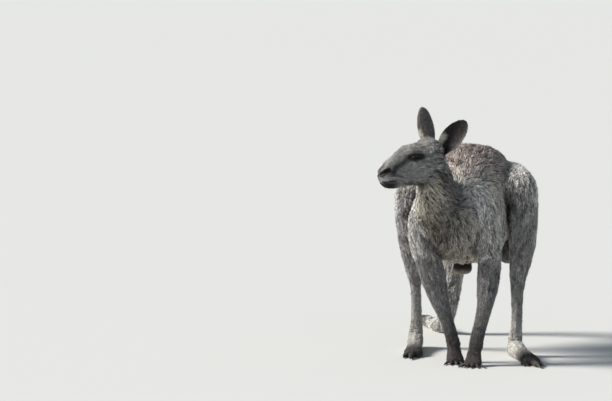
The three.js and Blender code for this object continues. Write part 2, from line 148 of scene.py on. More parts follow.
def stacked(solids):
    starts = np.cumsum([0] + [len(places) for places, _ in solids])
    faces = [corners + start for (_, corners), start in zip(solids, starts)]
    return np.vstack([places for places, _ in solids]), np.vstack(faces)


def share_between(values, low, high):
    share = np.clip((values - low) / (high - low), 0, 1)
    return share * share * (3 - 2 * share)


def nearness(points, node, reach):
    low, high = (np.array(corner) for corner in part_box(node))
    outside = np.maximum(np.maximum(low - points, points - high), 0)
    return 1 - share_between(np.linalg.norm(outside, axis=1), 0, reach)


def relaxed(points, pairs, strength, rounds):
    first, second = pairs[:, 0], pairs[:, 1]
    count = len(points)
    neighbours = np.bincount(first, minlength=count) + np.bincount(second, minlength=count)
    for _ in range(rounds):
        middle = np.empty_like(points)
        for axis in range(points.shape[1]):
            column = np.ascontiguousarray(points[:, axis])
            total = np.bincount(first, column[second], count) + np.bincount(second, column[first], count)
            middle[:, axis] = total / neighbours
        points = points + strength[:, None] * (middle - points)
    return points


def edges_of(faces):
    sides = [faces[:, [k, (k + 1) % faces.shape[1]]] for k in range(faces.shape[1])]
    pairs = np.sort(np.vstack(sides), axis=1).astype(np.int64)
    keys = np.unique(pairs[:, 0] * (1 << 32) + pairs[:, 1])
    return np.stack([keys >> 32, keys & 0xFFFFFFFF], axis=1)


flesh_points, flesh_faces = stacked([solid_of(name) for name in FLESH + ["eye_left", "eye_right"]])
volume_grid = openvdb.FloatGrid.createLevelSetFromPolygons(
    flesh_points,
    triangles=flesh_faces.astype(np.uint32),
    transform=openvdb.createLinearTransform(voxelSize=GRAIN),
    halfWidth=WRAP_BAND,
)
wrap_points, _, wrap_quads = volume_grid.convertToPolygons(isovalue=WRAP)
wrap_points = wrap_points.astype(np.float64)
wrap_quads = wrap_quads[:, ::-1].astype(np.int64)

# Each point belongs to the solid that it lies nearest to, which samples all over the solids tell.
LABELS = {name: index for index, name in enumerate(FLESH)}
SAMPLE_STEP = 7 * MM
SAMPLES_LEAST = 200
SAMPLE_SEED = 20261122
dice = np.random.default_rng(SAMPLE_SEED)
spot_places = []
spot_labels = []
for name in FLESH:
    places, corners = solid_of(name)
    a, b, c = (places[corners[:, k]] for k in range(3))
    areas = np.linalg.norm(np.cross(b - a, c - a), axis=1) / 2
    wanted = SAMPLES_LEAST + int(areas.sum() / SAMPLE_STEP**2)
    chosen = dice.choice(len(corners), wanted, p=areas / areas.sum())
    u, v = dice.random((2, wanted, 1))
    over = u + v > 1
    u, v = np.where(over, 1 - u, u), np.where(over, 1 - v, v)
    spot_places.append(a[chosen] + u * (b - a)[chosen] + v * (c - a)[chosen])
    spot_labels += [LABELS[name]] * wanted
spot_labels = np.array(spot_labels)


def search_tree(points):
    tree = KDTree(len(points))
    for index, place in enumerate(points):
        tree.insert(place, index)
    tree.balance()
    return tree


spots = search_tree(np.vstack(spot_places))


def labels_at(points):
    return spot_labels[[spots.find(place)[1] for place in points]]


def numbers_of(*stems):
    return [LABELS[name] for name in FLESH if name.startswith(stems)]


FOLD_FAR = 0.1  # metres, past which a fold no longer counts


def fold_distance(points, pairs, labels, ones, others):
    """Distance of each point from the line along which two groups of solids meet."""
    ones, others = numbers_of(*ones), numbers_of(*others)
    ends = labels[pairs]
    in_ones, in_others = np.isin(ends, ones), np.isin(ends, others)
    meets = (in_ones[:, 0] & in_others[:, 1]) | (in_others[:, 0] & in_ones[:, 1])
    line = search_tree(points[pairs[meets]].mean(axis=1))
    distance = np.full(len(points), FOLD_FAR)
    for index in np.flatnonzero(np.isin(labels, ones + others)):
        distance[index] = min(line.find(points[index])[2], FOLD_FAR)
    return distance


# How far the wrap is softened, in metres: little in the folds, on the head and paws, most on the trunk.
# Behind, thigh and rump run together without a fold.
TRUNK = ("chest", "belly", "rump")
PAWS = ("hand_left", "hand_right", "foot_left", "foot_right")
SOFTEST = 12 * MM
SOFT_FOLD = 5 * MM
SOFT_LIMB = 4 * MM
SOFT_PARTS = (  # solids, softening, reach round them
    (("tail_middle", "tail_tip"), 6 * MM, 0.08),
    (("head",), 3.5 * MM, 0.04),
    (("ear_left", "ear_right"), 2.2 * MM, 0.015),
    (PAWS, 2.2 * MM, 0.03),
)
FOLD_REACH = (0.01, 0.06)  # the fold's own softening ends here, the trunk's begins there
RELAX_STEP = 0.8
wrap_edges = edges_of(wrap_quads)
wrap_labels = labels_at(wrap_points)
fold = np.minimum(fold_distance(wrap_points, wrap_edges, wrap_labels, TRUNK, ("thigh", "scrotum")),
                  fold_distance(wrap_points, wrap_edges, wrap_labels, TRUNK, ("upper_arm",)))
fold = np.maximum(fold, FOLD_REACH[1] * share_between(wrap_points[:, 1], -0.12, 0.06))
softening = SOFT_FOLD + (SOFTEST - SOFT_FOLD) * share_between(fold, *FOLD_REACH)
softening = SOFT_LIMB + (softening - SOFT_LIMB) * share_between(wrap_points[:, 2], 0.22, 0.42)
for names, amount, reach in SOFT_PARTS:
    for name in names:
        near = nearness(wrap_points, name, reach)
        softening = softening * (1 - near) + amount * near
rounds = int(2 * (SOFTEST / GRAIN) ** 2 / RELAX_STEP)
wrap_points = relaxed(wrap_points, wrap_edges, RELAX_STEP * (softening / SOFTEST) ** 2, rounds)


def mesh_from(name, points, faces):
    mesh = bpy.data.meshes.new(name)
    sides = faces.shape[1]
    mesh.vertices.add(len(points))
    mesh.vertices.foreach_set("co", points.astype(np.float32).ravel())
    mesh.loops.add(faces.size)
    mesh.loops.foreach_set("vertex_index", faces.astype(np.int32).ravel())
    mesh.polygons.add(len(faces))
    mesh.polygons.foreach_set("loop_start", np.arange(0, faces.size, sides, dtype=np.int32))
    mesh.update(calc_edges=True)
    return mesh


def move_points(mesh, points):
    mesh.vertices.foreach_set("co", points.astype(np.float32).ravel())


def smoothed(mesh):
    mesh.polygons.foreach_set("use_smooth", np.ones(len(mesh.polygons), bool))
    return mesh


def made_plain(thing):
    """The thing's mesh with its modifiers carried out; the thing itself is taken away."""
    mesh = bpy.data.meshes.new_from_object(thing.evaluated_get(bpy.context.evaluated_depsgraph_get()))
    bpy.data.objects.remove(thing)
    return mesh


# The even wrap is thinned where long fur will cover it and kept fine on the head, hands and feet.
FINE_PARTS = (
    (("head", "ear_left", "ear_right"), 1.0),
    (("hand_left", "hand_right"), 0.5),
    (("foot_left", "foot_right"), 0.3),
)
FINE_REACH = 0.02
FINE_LEVELS = 10
THINNED_TO = 0.205  # share of the triangles that is left
FINE_WEIGHT = 0.00003  # how strongly the fine parts are spared
wrap = placed("wrap", mesh_from("wrap", wrap_points, wrap_quads))
fineness = np.zeros(len(wrap_points))
for names, amount in FINE_PARTS:
    for name in names:
        fineness = np.maximum(fineness, amount * nearness(wrap_points, name, FINE_REACH))
group = wrap.vertex_groups.new(name="fine")
for level in range(1, FINE_LEVELS + 1):
    chosen = np.flatnonzero(np.round(fineness * FINE_LEVELS) == level)
    group.add(chosen.tolist(), level / FINE_LEVELS, "REPLACE")
thinning = wrap.modifiers.new("thinning", "DECIMATE")
thinning.ratio = THINNED_TO
thinning.vertex_group = "fine"
thinning.invert_vertex_group = True
thinning.vertex_group_factor = FINE_WEIGHT
thinned = made_plain(wrap)


def unit(vectors):
    return vectors / np.maximum(np.linalg.norm(vectors, axis=-1, keepdims=True), 1e-12)


def normals_of(points, faces):
    a, b, c = (points[faces[:, k]] for k in range(3))
    across_face = np.cross(b - a, c - a)
    total = np.empty_like(points)
    for axis in range(3):
        weights = np.repeat(across_face[:, axis], 3)
        total[:, axis] = np.bincount(faces.ravel(), weights, len(points))
    return unit(total)


# Where the eye, nostril and mouth come, the net is made finer before they are shaped, and evened out.
NET_STEP = 0.5
NET_ROUNDS = 3


def refined(mesh, wanted):
    net = bmesh.new()
    net.from_mesh(mesh)
    flags = wanted(points_of(mesh))
    net.verts.ensure_lookup_table()
    edges = [edge for edge in net.edges if flags[edge.verts[0].index] and flags[edge.verts[1].index]]
    bmesh.ops.subdivide_edges(net, edges=edges, cuts=1, use_grid_fill=True)
    bmesh.ops.triangulate(net, faces=[face for face in net.faces if len(face.verts) > 3])
    net.to_mesh(mesh)
    net.free()
    places = points_of(mesh)
    move_points(mesh, relaxed(places, edges_of(faces_of(mesh)), NET_STEP * wanted(places), NET_ROUNDS))


# The head's own directions: across to its left, back from the nose, and up, in millimetres from the
# tip of the nose, which lies this far before and below the eyes.
EYE_BACK = 112
EYE_UP = 45
EYE_RADIUS = 13


def middle_of(node):
    low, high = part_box(node)
    return np.array((low + high) / 2)


head_across = unit(middle_of("eye_left") - middle_of("eye_right"))
head_up = np.array([0.0, 0.0, 1.0])
head_back = np.cross(head_up, head_across)
head_axes = np.stack([head_across, head_back, head_up])
nose_tip = (middle_of("eye_left") + middle_of("eye_right")) / 2
nose_tip = nose_tip - MM * (EYE_BACK * head_back + EYE_UP * head_up)
EYE_ACROSS = float((middle_of("eye_left") - nose_tip) @ head_across) / MM


def on_head(points):
    return (points - nose_tip) @ head_axes.T / MM


def mirrored(places):
    return np.stack([np.abs(places[:, 0]), places[:, 1], places[:, 2]], axis=1)


def share_near(places, centre, reach):
    return np.exp(-((places - np.array(centre)) ** 2).sum(axis=1) / reach**2)


def line_distance(places, path):
    path = np.array(path, float)
    nearest = np.full(len(places), np.inf)
    for start, end in zip(path[:-1], path[1:]):
        along = end - start
        share = np.clip((places - start) @ along / (along @ along), 0, 1)
        nearest = np.minimum(nearest, np.linalg.norm(places - start - share[:, None] * along, axis=1))
    return nearest


# Paths and places on the face are in those millimetres, and hold for both sides.
EYE_PLACE = (EYE_ACROSS, EYE_BACK, EYE_UP)
NOSTRIL = [(9, -4, -9), (16, 4, -5), (22, 14, 3), (25, 23, 7)]
MOUTH = [(0, -3, -33), (10, 1, -34), (18, 12, -32), (24, 34, -29), (27, 50, -29), (29, 66, -33)]
REFINEMENTS = (  # path, reach round it, reach round the eye
    (NOSTRIL + MOUTH, 16, 30),
    (NOSTRIL, 9, 22),
)


def near_features(points, path, path_reach, eye_reach):
    places = mirrored(on_head(points))
    near_eye = np.linalg.norm(places - EYE_PLACE, axis=1) < eye_reach
    return (line_distance(places, path) < path_reach) | near_eye


for refinement in REFINEMENTS:
    refined(thinned, lambda points: near_features(points, *refinement))

skin_points = points_of(thinned)
skin_faces = faces_of(thinned)
skin_edges = edges_of(skin_faces)
skin_label = labels_at(skin_points)


def spread_over_skin(values, rounds):
    columns = values.reshape(len(values), -1).astype(float)
    strength = np.full(len(columns), RELAX_STEP)
    return relaxed(columns, skin_edges, strength, rounds).reshape(values.shape)


def by_part(table):
    """Each skin point's value from a table by solid; 1 where the table doesn't name the solid."""
    values = [next((value for stem, value in table.items() if name.startswith(stem)), 1) for name in FLESH]
    return np.array(values, float)[skin_label]


# Length of the hair in millimetres. It lies close, so the coat is about a third as deep.
HAIR = {"head": 8, "ear": 4, "neck": 22, "chest": 22, "belly": 20, "rump": 20, "thigh": 20, "shank": 12,
        "foot": 6, "upper_arm": 19, "forearm": 11, "hand": 5, "tail_base": 21, "tail_middle": 17,
        "tail_tip": 15, "scrotum": 6}
COAT_DEPTH = 0.28
HAIR_SHORTEST = 2.0
HAIR_LOST = 0.45  # share of its length that the hair of a shank or forearm has lost at the ground
EAR_BASES = ((43, 196, 70), 24)  # place and reach on the head
face = mirrored(on_head(skin_points))
is_head = skin_label == LABELS["head"]
is_ear = np.isin(skin_label, numbers_of("ear"))
is_limb = np.isin(skin_label, numbers_of("shank", "forearm"))
face_hair = HAIR_SHORTEST + 6.5 * share_between(face[:, 1], 5, 130)  # longer from nose to cheek
face_hair += 6 * share_between(face[:, 1], 120, 200)  # and on to the neck
face_hair += 4 * share_between(-face[:, 2], 20, 60) * share_between(face[:, 1], 60, 120)  # throat
face_hair += 4 * share_near(face, *EAR_BASES) - 5 * share_near(face, EYE_PLACE, 26)
low_on_limb = 1 - share_between(skin_points[:, 2], 0.05, 0.35)
hair_length = np.where(is_head, np.maximum(face_hair, HAIR_SHORTEST), by_part(HAIR))
hair_length = np.where(is_limb, hair_length * (1 - HAIR_LOST * low_on_limb), hair_length)
hair_length = spread_over_skin(hair_length, 12)

# Each ear is a leaf: its share along runs from root to tip, across from its front edge (-1) to its
# back edge (1), and its hollow side looks the way that the ear opens.
EAR_OPENING = {"ear_left": (-0.28, -0.95, 0.2), "ear_right": (-0.78, 0.62, 0.0)}
EAR_FRONT = np.array([-0.95, -0.3, 0.0])
EAR_REGAINED = 2.2  # millimetres that softening took off the thin rims
EAR_MIDDLE = 0.3  # share along the ear from which its rims are moved away
EAR_FREE = (0.1, 0.4)  # the root ends here along the ear, and the free leaf begins there
skin_normals = normals_of(skin_points, skin_faces)
ear_along, ear_across, ear_hollow = np.zeros((3, len(skin_points)))
for name, opening in EAR_OPENING.items():
    mine = skin_label == LABELS[name]
    opening = unit(np.array(opening))
    axis = np.linalg.svd(skin_points[mine] - skin_points[mine].mean(axis=0), full_matrices=False)[2][0]
    axis = axis * np.sign(axis[2])
    sideways = np.cross(axis, opening)
    sideways = sideways * -np.sign(sideways @ EAR_FRONT)
    level, aside = skin_points[mine] @ axis, skin_points[mine] @ sideways
    ear_along[mine] = (level - level.min()) / np.ptp(level)
    ear_across[mine] = (aside - (aside.max() + aside.min()) / 2) / (np.ptp(aside) / 2)
    ear_hollow[mine] = share_between(skin_normals[mine] @ opening, 0.0, 0.4)
    along, across = ear_along[mine, None], ear_across[mine, None]
    regained = EAR_REGAINED * MM * (across * sideways + (along - EAR_MIDDLE) * axis)
    skin_points[mine] += regained * share_between(along, *EAR_FREE)

EAR_PROUD = 0.3 * MM  # an ear's coat is short, and its skin stands this far outside its solid
EVENED_EAR = 0.1
EVENED_SKIN = 0.3
EVENED_ROUNDS = 2
inset = hair_length * COAT_DEPTH * MM + WRAP
inset = spread_over_skin(np.where(is_ear, WRAP - EAR_PROUD, inset), 4)
skin_points = skin_points - skin_normals * inset[:, None]
skin_points = relaxed(skin_points, skin_edges, np.where(is_ear, EVENED_EAR, EVENED_SKIN), EVENED_ROUNDS)


# The face: brow, cheekbone, jaw, lips and chin swell, the hollow before the eye and the nostrils sink.
def pushed(points, share, amount):
    """The points moved out along their normals by a share of an amount in millimetres."""
    return points + normals_of(points, skin_faces) * (amount * MM * share)[:, None]


def by_gap(gap, width):
    """A share that is 1 where the gap is nought and fades over about this width."""
    return np.exp(-((gap / width) ** 2))


def furrowed(points, places, path, width, depth):
    return pushed(points, by_gap(line_distance(places, path), width), -depth)


FACE_FORMS = (  # place, reach and push on the head
    ((34, 103, 67), 15, 3.5),  # brow
    ((47, 84, 44), 11, -2.5),  # inner corner of the eye
    ((31, 62, 17), 17, -3.0),  # hollow between eye and nose
    ((51, 118, 24), 16, 2.2),  # cheekbone under the eye
    ((57, 158, 22), 22, 2.0),  # cheekbone further back
    ((52, 146, 50), 17, -2.5),  # temple
    ((46, 150, -18), 26, 2.8),  # muscle of the jaw
    ((38, 105, -18), 18, -1.8),  # hollow before that muscle
    ((22, 20, -20), 12, 2.4),  # upper lip
    ((26, 46, -20), 12, 1.6),  # upper lip further back
    ((14, 22, -41), 12, 1.6),  # lower lip
    ((20, 14, 14), 9, 1.8),  # wing of the nose
    ((0, 2, -16), 7, -1.6),  # furrow under the nose
    ((0, -3, -27), 15, -7.0),  # the lips lie behind the nose
    ((0, 4, -44), 16, -5.0),  # and the chin behind the lips
    ((0, 14, 20), 10, 1.4),  # pad of the nose
    ((0, 42, 33), 14, -1.2),  # bridge
    ((0, 100, 74), 14, -1.6),  # furrow of the forehead
    ((43, 194, 72), 22, 6.0),  # root of the ear
    ((0, 178, 84), 34, 3.0),  # thick fur of the crown
)
FACE_FURROWS = (  # path, width and depth; a depth below nought is a ridge
    (NOSTRIL, 7.0, -1.8),
    (NOSTRIL, 3.8, 9.0),
    (MOUTH, 2.0, 3.4),
    ([(28, 66, -38), (34, 100, -41), (38, 150, -43)], 7, 1.6),  # under the jaw
)
for centre, reach, amount in FACE_FORMS:
    share = share_near(mirrored(on_head(skin_points)), centre, reach)
    skin_points = pushed(skin_points, share, amount)
face = mirrored(on_head(skin_points))
for path, width, depth in FACE_FURROWS:
    skin_points = furrowed(skin_points, face, path, width, depth)


# The body: skin folds where thigh and arm leave the trunk, a furrow down the breast, the ridge of the
# shoulder blade, and creases round the ankles. Places are shares of a solid's box.
def share_of_box(points, node):
    low, high = (np.array(corner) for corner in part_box(node))
    return low + np.array(points) * (high - low)


# The thigh's fold is deep in front and runs out behind and on the back.
THIGH_FOLD = (0.014, 15)  # width in metres, depth in mm
ARM_FOLD = (0.011, 2.5)
ARMPIT = 4.5  # mm more, low on the arm
HEAD_FOLD = (0.010, 2.5)
ahead = share_between(-skin_points[:, 1], -0.05, 0.1)
not_on_back = 1 - 0.9 * share_between(skin_points[:, 2], 0.52, 0.59)
skin_normals = normals_of(skin_points, skin_faces)
thigh_gap = fold_distance(skin_points, skin_edges, skin_label, TRUNK, ("thigh",))
arm_gap = fold_distance(skin_points, skin_edges, skin_label, TRUNK, ("upper_arm",))
head_gap = fold_distance(skin_points, skin_edges, skin_label, ("neck",), ("head",))
arm_depth = ARM_FOLD[1] + ARMPIT * share_between(-skin_points[:, 2], -0.5, -0.42)
sink = by_gap(thigh_gap, THIGH_FOLD[0]) * THIGH_FOLD[1] * ahead * not_on_back
sink += by_gap(arm_gap, ARM_FOLD[0]) * arm_depth
sink += by_gap(head_gap, HEAD_FOLD[0]) * HEAD_FOLD[1]
skin_points = skin_points - skin_normals * (sink * MM)[:, None]

BODY_FORMS = (  # solid, place, reach in mm, push in mm
    ("chest", (0.37, 0.0, 0.42), 45, -9),  # breast between the arms
    ("upper_arm_left", (0.4, 0.0, 0.45), 40, 6),
    ("upper_arm_right", (0.45, 0.0, 0.45), 40, 6),
    ("thigh_left", (0.75, 0.25, 0.55), 60, 5),  # muscle of the thigh
    ("thigh_right", (0.2, 0.25, 0.55), 60, 5),
    ("shank_left", (0.5, 0.95, 0.72), 38, 3),  # calf
    ("shank_right", (0.5, 0.9, 0.72), 38, 3),
)
for node, place, reach, amount in BODY_FORMS:
    share = share_near(skin_points, share_of_box(place, node), reach * MM)
    skin_points = pushed(skin_points, share, amount)

BODY_FURROWS = (  # solid, path, width and depth in mm; the last is the ridge of the shoulder blade
    ("chest", [(0.35, -0.03, 0.54), (0.36, 0.02, 0.42), (0.40, 0.04, 0.27), (0.40, 0.19, 0.15)], 13, 10),
    ("chest", [(0.48, 0.01, 0.47), (0.58, 0.06, 0.30), (0.68, 0.45, 0.12)], 11, 7),
    ("chest", [(0.19, 0.04, 0.44), (0.25, 0.11, 0.27), (0.28, 0.29, 0.12)], 11, 7),
    ("chest", [(0.48, 0.56, 0.86), (0.57, 0.51, 0.83), (0.66, 0.50, 0.80)], 16, -7),
)
for node, path, width, depth in BODY_FURROWS:
    path = share_of_box(path, node) / MM
    skin_points = furrowed(skin_points, skin_points / MM, path, width, depth)

ANKLE = (0.045, 0.15)  # from this height to that
ANKLE_REACH = 0.03
CREASE_LENGTH = 15 * MM
CREASE_HEIGHT = 3.0 * MM
height = skin_points[:, 2]
near_foot = [nearness(skin_points, name, ANKLE_REACH) for name in ("foot_left", "foot_right")]
creases = (np.maximum(*near_foot) > 0) & (height > ANKLE[0]) & (height < ANKLE[1])
creases = creases * share_between(-skin_normals[:, 1], -0.2, 0.5)
creases = spread_over_skin(creases, 3) * share_between(-height, -0.14, -0.11)
creases = creases * np.sin(height * 2 * math.pi / CREASE_LENGTH)
skin_points = skin_points + skin_normals * (CREASE_HEIGHT * creases)[:, None]


# Lids: the skin bulges over the ball of the eye and opens in a half-closed almond. All in millimetres.
GAZE = (0.93, -0.3, 0.1)  # where the left eye looks, in the head's directions
SLIT = (0.0, 1.0, 0.12)  # the line of its slit
LID = 1.3  # thickness
LID_BLEND = 3.5  # softness of the join between lid and cheek
LID_REACH = (27, 19)  # past the first the skin is left as it is, within the second it is all lid
OPENING_HALF = 13.5
OPENING_ABOVE = 3.4
OPENING_BELOW = 4.8
SLIT_DEPTH = 5
RIM_HEIGHT = 0.9
UPPER_CREASE = (5.0, 1.3, 1.3)  # distance from the slit, depth and width
LOWER_CREASE = (4.5, 0.9, 1.2)


def eye_frame(side):
    """Where an eye looks, and the directions along and across its slit, in the head's directions."""
    gaze = unit(np.array(GAZE) * [side, 1, 1])
    level = np.array(SLIT)
    slit = unit(level - gaze * (level @ gaze))
    return gaze, slit, np.cross(gaze, slit) * side


for side in (1, -1):
    places = on_head(skin_points) - np.array([side * EYE_ACROSS, EYE_BACK, EYE_UP])
    gaze, slit, rise = eye_frame(side)
    out, along, high = places @ gaze, places @ slit, places @ rise
    around = np.sqrt(along**2 + high**2)
    close = (out > -2) & (around < 30)
    ball = np.sqrt(np.maximum((EYE_RADIUS + LID) ** 2 - around**2, 0))
    mix = np.clip(0.5 + 0.5 * (ball - out) / LID_BLEND, 0, 1)
    shaped = out * (1 - mix) + ball * mix + LID_BLEND * mix * (1 - mix)
    arch = np.maximum(1 - (along / OPENING_HALF) ** 2, -0.5)
    inside = np.minimum(OPENING_ABOVE * arch - high, high + OPENING_BELOW * arch)
    shaped = shaped - SLIT_DEPTH * share_between(inside, -0.5, 0.6)
    shaped = shaped + RIM_HEIGHT * by_gap(inside + 1.2, 1.1)
    away, depth, width = UPPER_CREASE
    crease = by_gap(high - OPENING_ABOVE * arch - away - 0.012 * along**2, width)
    shaped = shaped - depth * crease * share_between(-np.abs(along), -17, -9)
    away, depth, width = LOWER_CREASE
    crease = by_gap(high + OPENING_BELOW * arch + away, width)
    shaped = shaped - depth * crease * share_between(-np.abs(along), -15, -8)
    move = np.where(close, (shaped - out) * share_between(-around, -LID_REACH[0], -LID_REACH[1]), 0)
    skin_points = skin_points + (move * MM)[:, None] * (gaze @ head_axes)

skin_normals = normals_of(skin_points, skin_faces)
move_points(thinned, skin_points)
thinned.update()


# Markings, each from 0 to 1: pale and cream fur below and inside, warm brown on the back, dark points,
# and bare skin round the nostrils, lips and lids. Some also hold painted light and shade: painted
# sunlight on the side that the key lights, and painted shade in the folds, under the jaw and on the breast.
def in_part(*stems):
    return np.isin(skin_label, numbers_of(*stems)).astype(float)


def along_line(path, near, far):
    return share_between(-line_distance(face, path), -far, -near)


below = share_between(-skin_normals[:, 2], 0.0, 0.7)
above = share_between(skin_normals[:, 2], -0.1, 0.6)
outside = share_between(skin_normals[:, 0] * np.sign(skin_points[:, 0]), 0.2, 0.8)
sideward = np.abs(skin_normals[:, 0])
fore = share_between(-skin_normals[:, 1], 0.1, 0.9)
height = skin_points[:, 2]
from_middle = np.abs(skin_points[:, 0])
face = mirrored(on_head(skin_points))
marks = {name: np.zeros(len(skin_points)) for name in ("pale", "cream", "warm", "dark", "bare")}


def mark(name, *shares):
    for share in shares:
        marks[name] = np.maximum(marks[name], share)


mark(
    "pale",
    in_part(*TRUNK) * 0.35 * below,  # underside
    in_part("shank") * (0.15 + 0.6 * share_between(-height, -0.22, -0.06)),  # paler towards the foot
    in_part("upper_arm") * 0.45,
    in_part("chest") * 0.4 * share_between(sideward, 0.25, 0.8),  # ribs
    share_near(skin_points, share_of_box((0.80, 0.25, 0.74), "chest"), 0.10),  # left shoulder
    0.8 * share_near(skin_points, share_of_box((0.10, 0.25, 0.74), "chest"), 0.08),  # right shoulder
    in_part("belly") * 0.35 * share_between(sideward, 0.4, 0.9),  # flanks
    # Paler top of the knee: partly the fur's own colour, partly painted sunlight on the top.
    in_part("thigh") * (0.1 + 0.5 * ahead * share_between(height, 0.50, 0.60)),  # knee
    # Paler outer side of each thigh: partly the fur's own colour, partly painted sunlight.
    in_part("thigh") * 0.45 * outside * ahead * share_between(thigh_gap, 0.0, 0.08),  # its outer side
    in_part("foot") * 0.85,
    is_head * 0.35 * share_near(face, (55, 155, 8), 36),  # cheek
    is_head * 0.5 * along_line([(22, 8, -24), (27, 52, -22)], 5, 11),  # upper lip
    is_head * 0.45 * share_between(-np.hypot(face[:, 0], face[:, 2] - 38), -32, -15)
    * share_between(-face[:, 1], -95, -20),  # bridge of the nose
    is_head * 0.3 * share_between(face[:, 2], 56, 74),  # forehead and crown
    is_head * 0.45 * share_near(face, (30, 122, 80), 16),  # spot over the eye
    in_part("tail_middle", "tail_tip") * 0.65,
    in_part("tail_base") * 0.2,
    in_part("neck") * 0.25 * fore,  # front of the neck
)
mark(
    "cream",
    in_part(*TRUNK) * 0.6 * below,  # underside
    # Down the throat the cream is stronger on the side that the key lights: partly painted sunlight.
    in_part("neck") * (0.3 + 0.7 * share_between(-skin_normals[:, 0], -0.35, 0.3))
    * share_between(-skin_normals @ head_back, -0.15, 0.35),  # down the throat
    # Cream on the right shoulder's front only, the side that the key lights: painted sunlight.
    0.6 * share_near(skin_points, share_of_box((0.12, 0.0, 0.62), "chest"), 0.045),  # right shoulder's front
    in_part("chest") * 0.3 * fore,  # front of the chest
    in_part("thigh", "shank") * 0.35 * share_between(-from_middle, -0.14, -0.06),  # insides of the legs
    is_head * 0.5 * share_between(-face[:, 2], 34, 48) * share_between(face[:, 1], 40, 90),  # throat
    in_part("scrotum") * share_between(-height, -0.270, -0.246),  # its lower rim
    in_part("tail") * 0.3 * below,
)
mark(
    "warm",
    in_part("belly", "rump") * above,  # back
    in_part("thigh") * (1 - 0.6 * ahead) * above * share_between(-thigh_gap, -0.09, -0.01),  # hip
    in_part("chest") * above * share_between(skin_points[:, 1], -0.46, -0.34),  # withers
    in_part("belly") * 0.55 * share_between(from_middle, 0.10, 0.15),  # flanks
    in_part("tail_base") * 0.8,
    in_part("scrotum") * 0.8,
    in_part("hand", "foot") * 0.5,
    is_head * 0.3 * share_between(face[:, 2], 40, 66),  # forehead
    is_head * 0.7 * share_near(face, *EAR_BASES),  # before and under the ears
    is_ear * 0.75 * (1 - ear_hollow),  # backs of the ears
)
STREAK = [(36, 84, 44), (34, 72, 31), (27, 46, 13), (27, 38, -2)]  # from the eye to the nostril
EYE_PATCH = [16.5, 26.0, 11.5]  # reach of the dark patch round the eye, across, back and up
EYE_BARE = [20.0, 16.0, 7.0]  # and of the bare skin of the lids
# BREAST places a patch of painted shade on the breast.
BREAST = ((0.26, 0.0, 0.36), (0.10, 0.13))  # place in the chest, and reach sideways and up in metres
toes = np.zeros(len(skin_points))
for name in ("foot_left", "foot_right"):
    low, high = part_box(name)
    toe_line = share_between(-skin_points[:, 1], -(low.y + 0.17), -(low.y + 0.06))
    toes = np.maximum(toes, (skin_label == LABELS[name]) * toe_line)
low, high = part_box("tail_tip")
rim = share_between(np.abs(ear_across), 0.8, 0.97)
breast = (skin_points - share_of_box(BREAST[0], "chest"))[:, [0, 2]] / BREAST[1]
breast = by_gap(np.hypot(breast[:, 0], breast[:, 1]), 1.0)
eye_oval = np.linalg.norm((face - EYE_PLACE - [0, 0, 2]) / EYE_PATCH, axis=1)
eye_oval = eye_oval + 0.12 * np.sin(face[:, 1] * 0.8 + 1) * np.sin(face[:, 2] * 0.9)
eye_gap = np.linalg.norm((face - EYE_PLACE) / EYE_BARE, axis=1)
mark(
    "dark",
    in_part("hand") * 0.8,
    in_part("forearm") * (0.2 + 0.55 * share_between(-height, -0.22, -0.05)),
    toes * 0.9,
    in_part("tail_tip") * share_between(skin_points[:, 1], low.y + 0.03, high.y - 0.06),
    in_part("tail_middle") * 0.25 * (1 - below),
    is_ear * (1 - ear_hollow) * 0.45,  # backs of the ears
    # The hollows are dark partly in their own skin and hair, partly as painted shade inside the ear.
    is_ear * ear_hollow * (1.3 - 0.6 * share_between(ear_across, 0.3, 0.9)),  # their hollows
    is_ear * 0.8 * rim * share_between(ear_along, 0.3, 0.6),  # and their rims
    in_part("scrotum") * 0.9 * share_between(height, 0.245, 0.275),
    is_head * 0.85 * along_line(STREAK, 4, 14),
    is_head * 0.95 * along_line(MOUTH[:5], 2.2, 6.0),  # lips
    is_head * 1.2 * along_line(NOSTRIL, 6.5, 10.5),  # rim of the nostril
    is_head * 0.65 * along_line([(0, 2, 2), (0, 14, 22)], 5, 13),  # tip of the nose
    is_head * 0.95 * share_between(-face[:, 2], 31, 37) * share_between(-face[:, 1], -75, -40),  # chin
    # Under the jaw: painted shade.
    is_head * 0.75 * share_between(-face[:, 2], 24, 40) * share_between(face[:, 1], 60, 100),  # jaw
    is_head * 1.25 * share_between(-eye_oval, -1.65, -0.75),  # round the eye
    is_head * 0.35 * along_line([(45, 134, 40), (50, 150, 30)], 4, 12),  # behind the eye
    # The breast between the arms: painted shade.
    in_part("chest", "neck") * 0.75 * share_between(-skin_normals[:, 1], -0.3, 0.2) * breast,
    0.3 * share_near(skin_points, share_of_box((0.4, 0.5, 0.92), "belly"), 0.11),  # behind the neck
    # The left side of the neck, away from the key light: painted shade.
    in_part("neck") * 0.6 * share_between(skin_normals[:, 0], 0.0, 0.6),  # left side of the neck
    # The fold before the thigh: painted shade in the crease.
    0.9 * ahead * not_on_back * by_gap(thigh_gap, 0.028) * (height > 0.3),  # fold before the thigh
    # The armpit: painted shade between arm and chest.
    0.5 * by_gap(arm_gap, 0.022) * share_between(-height, -0.48, -0.4),  # armpit
)

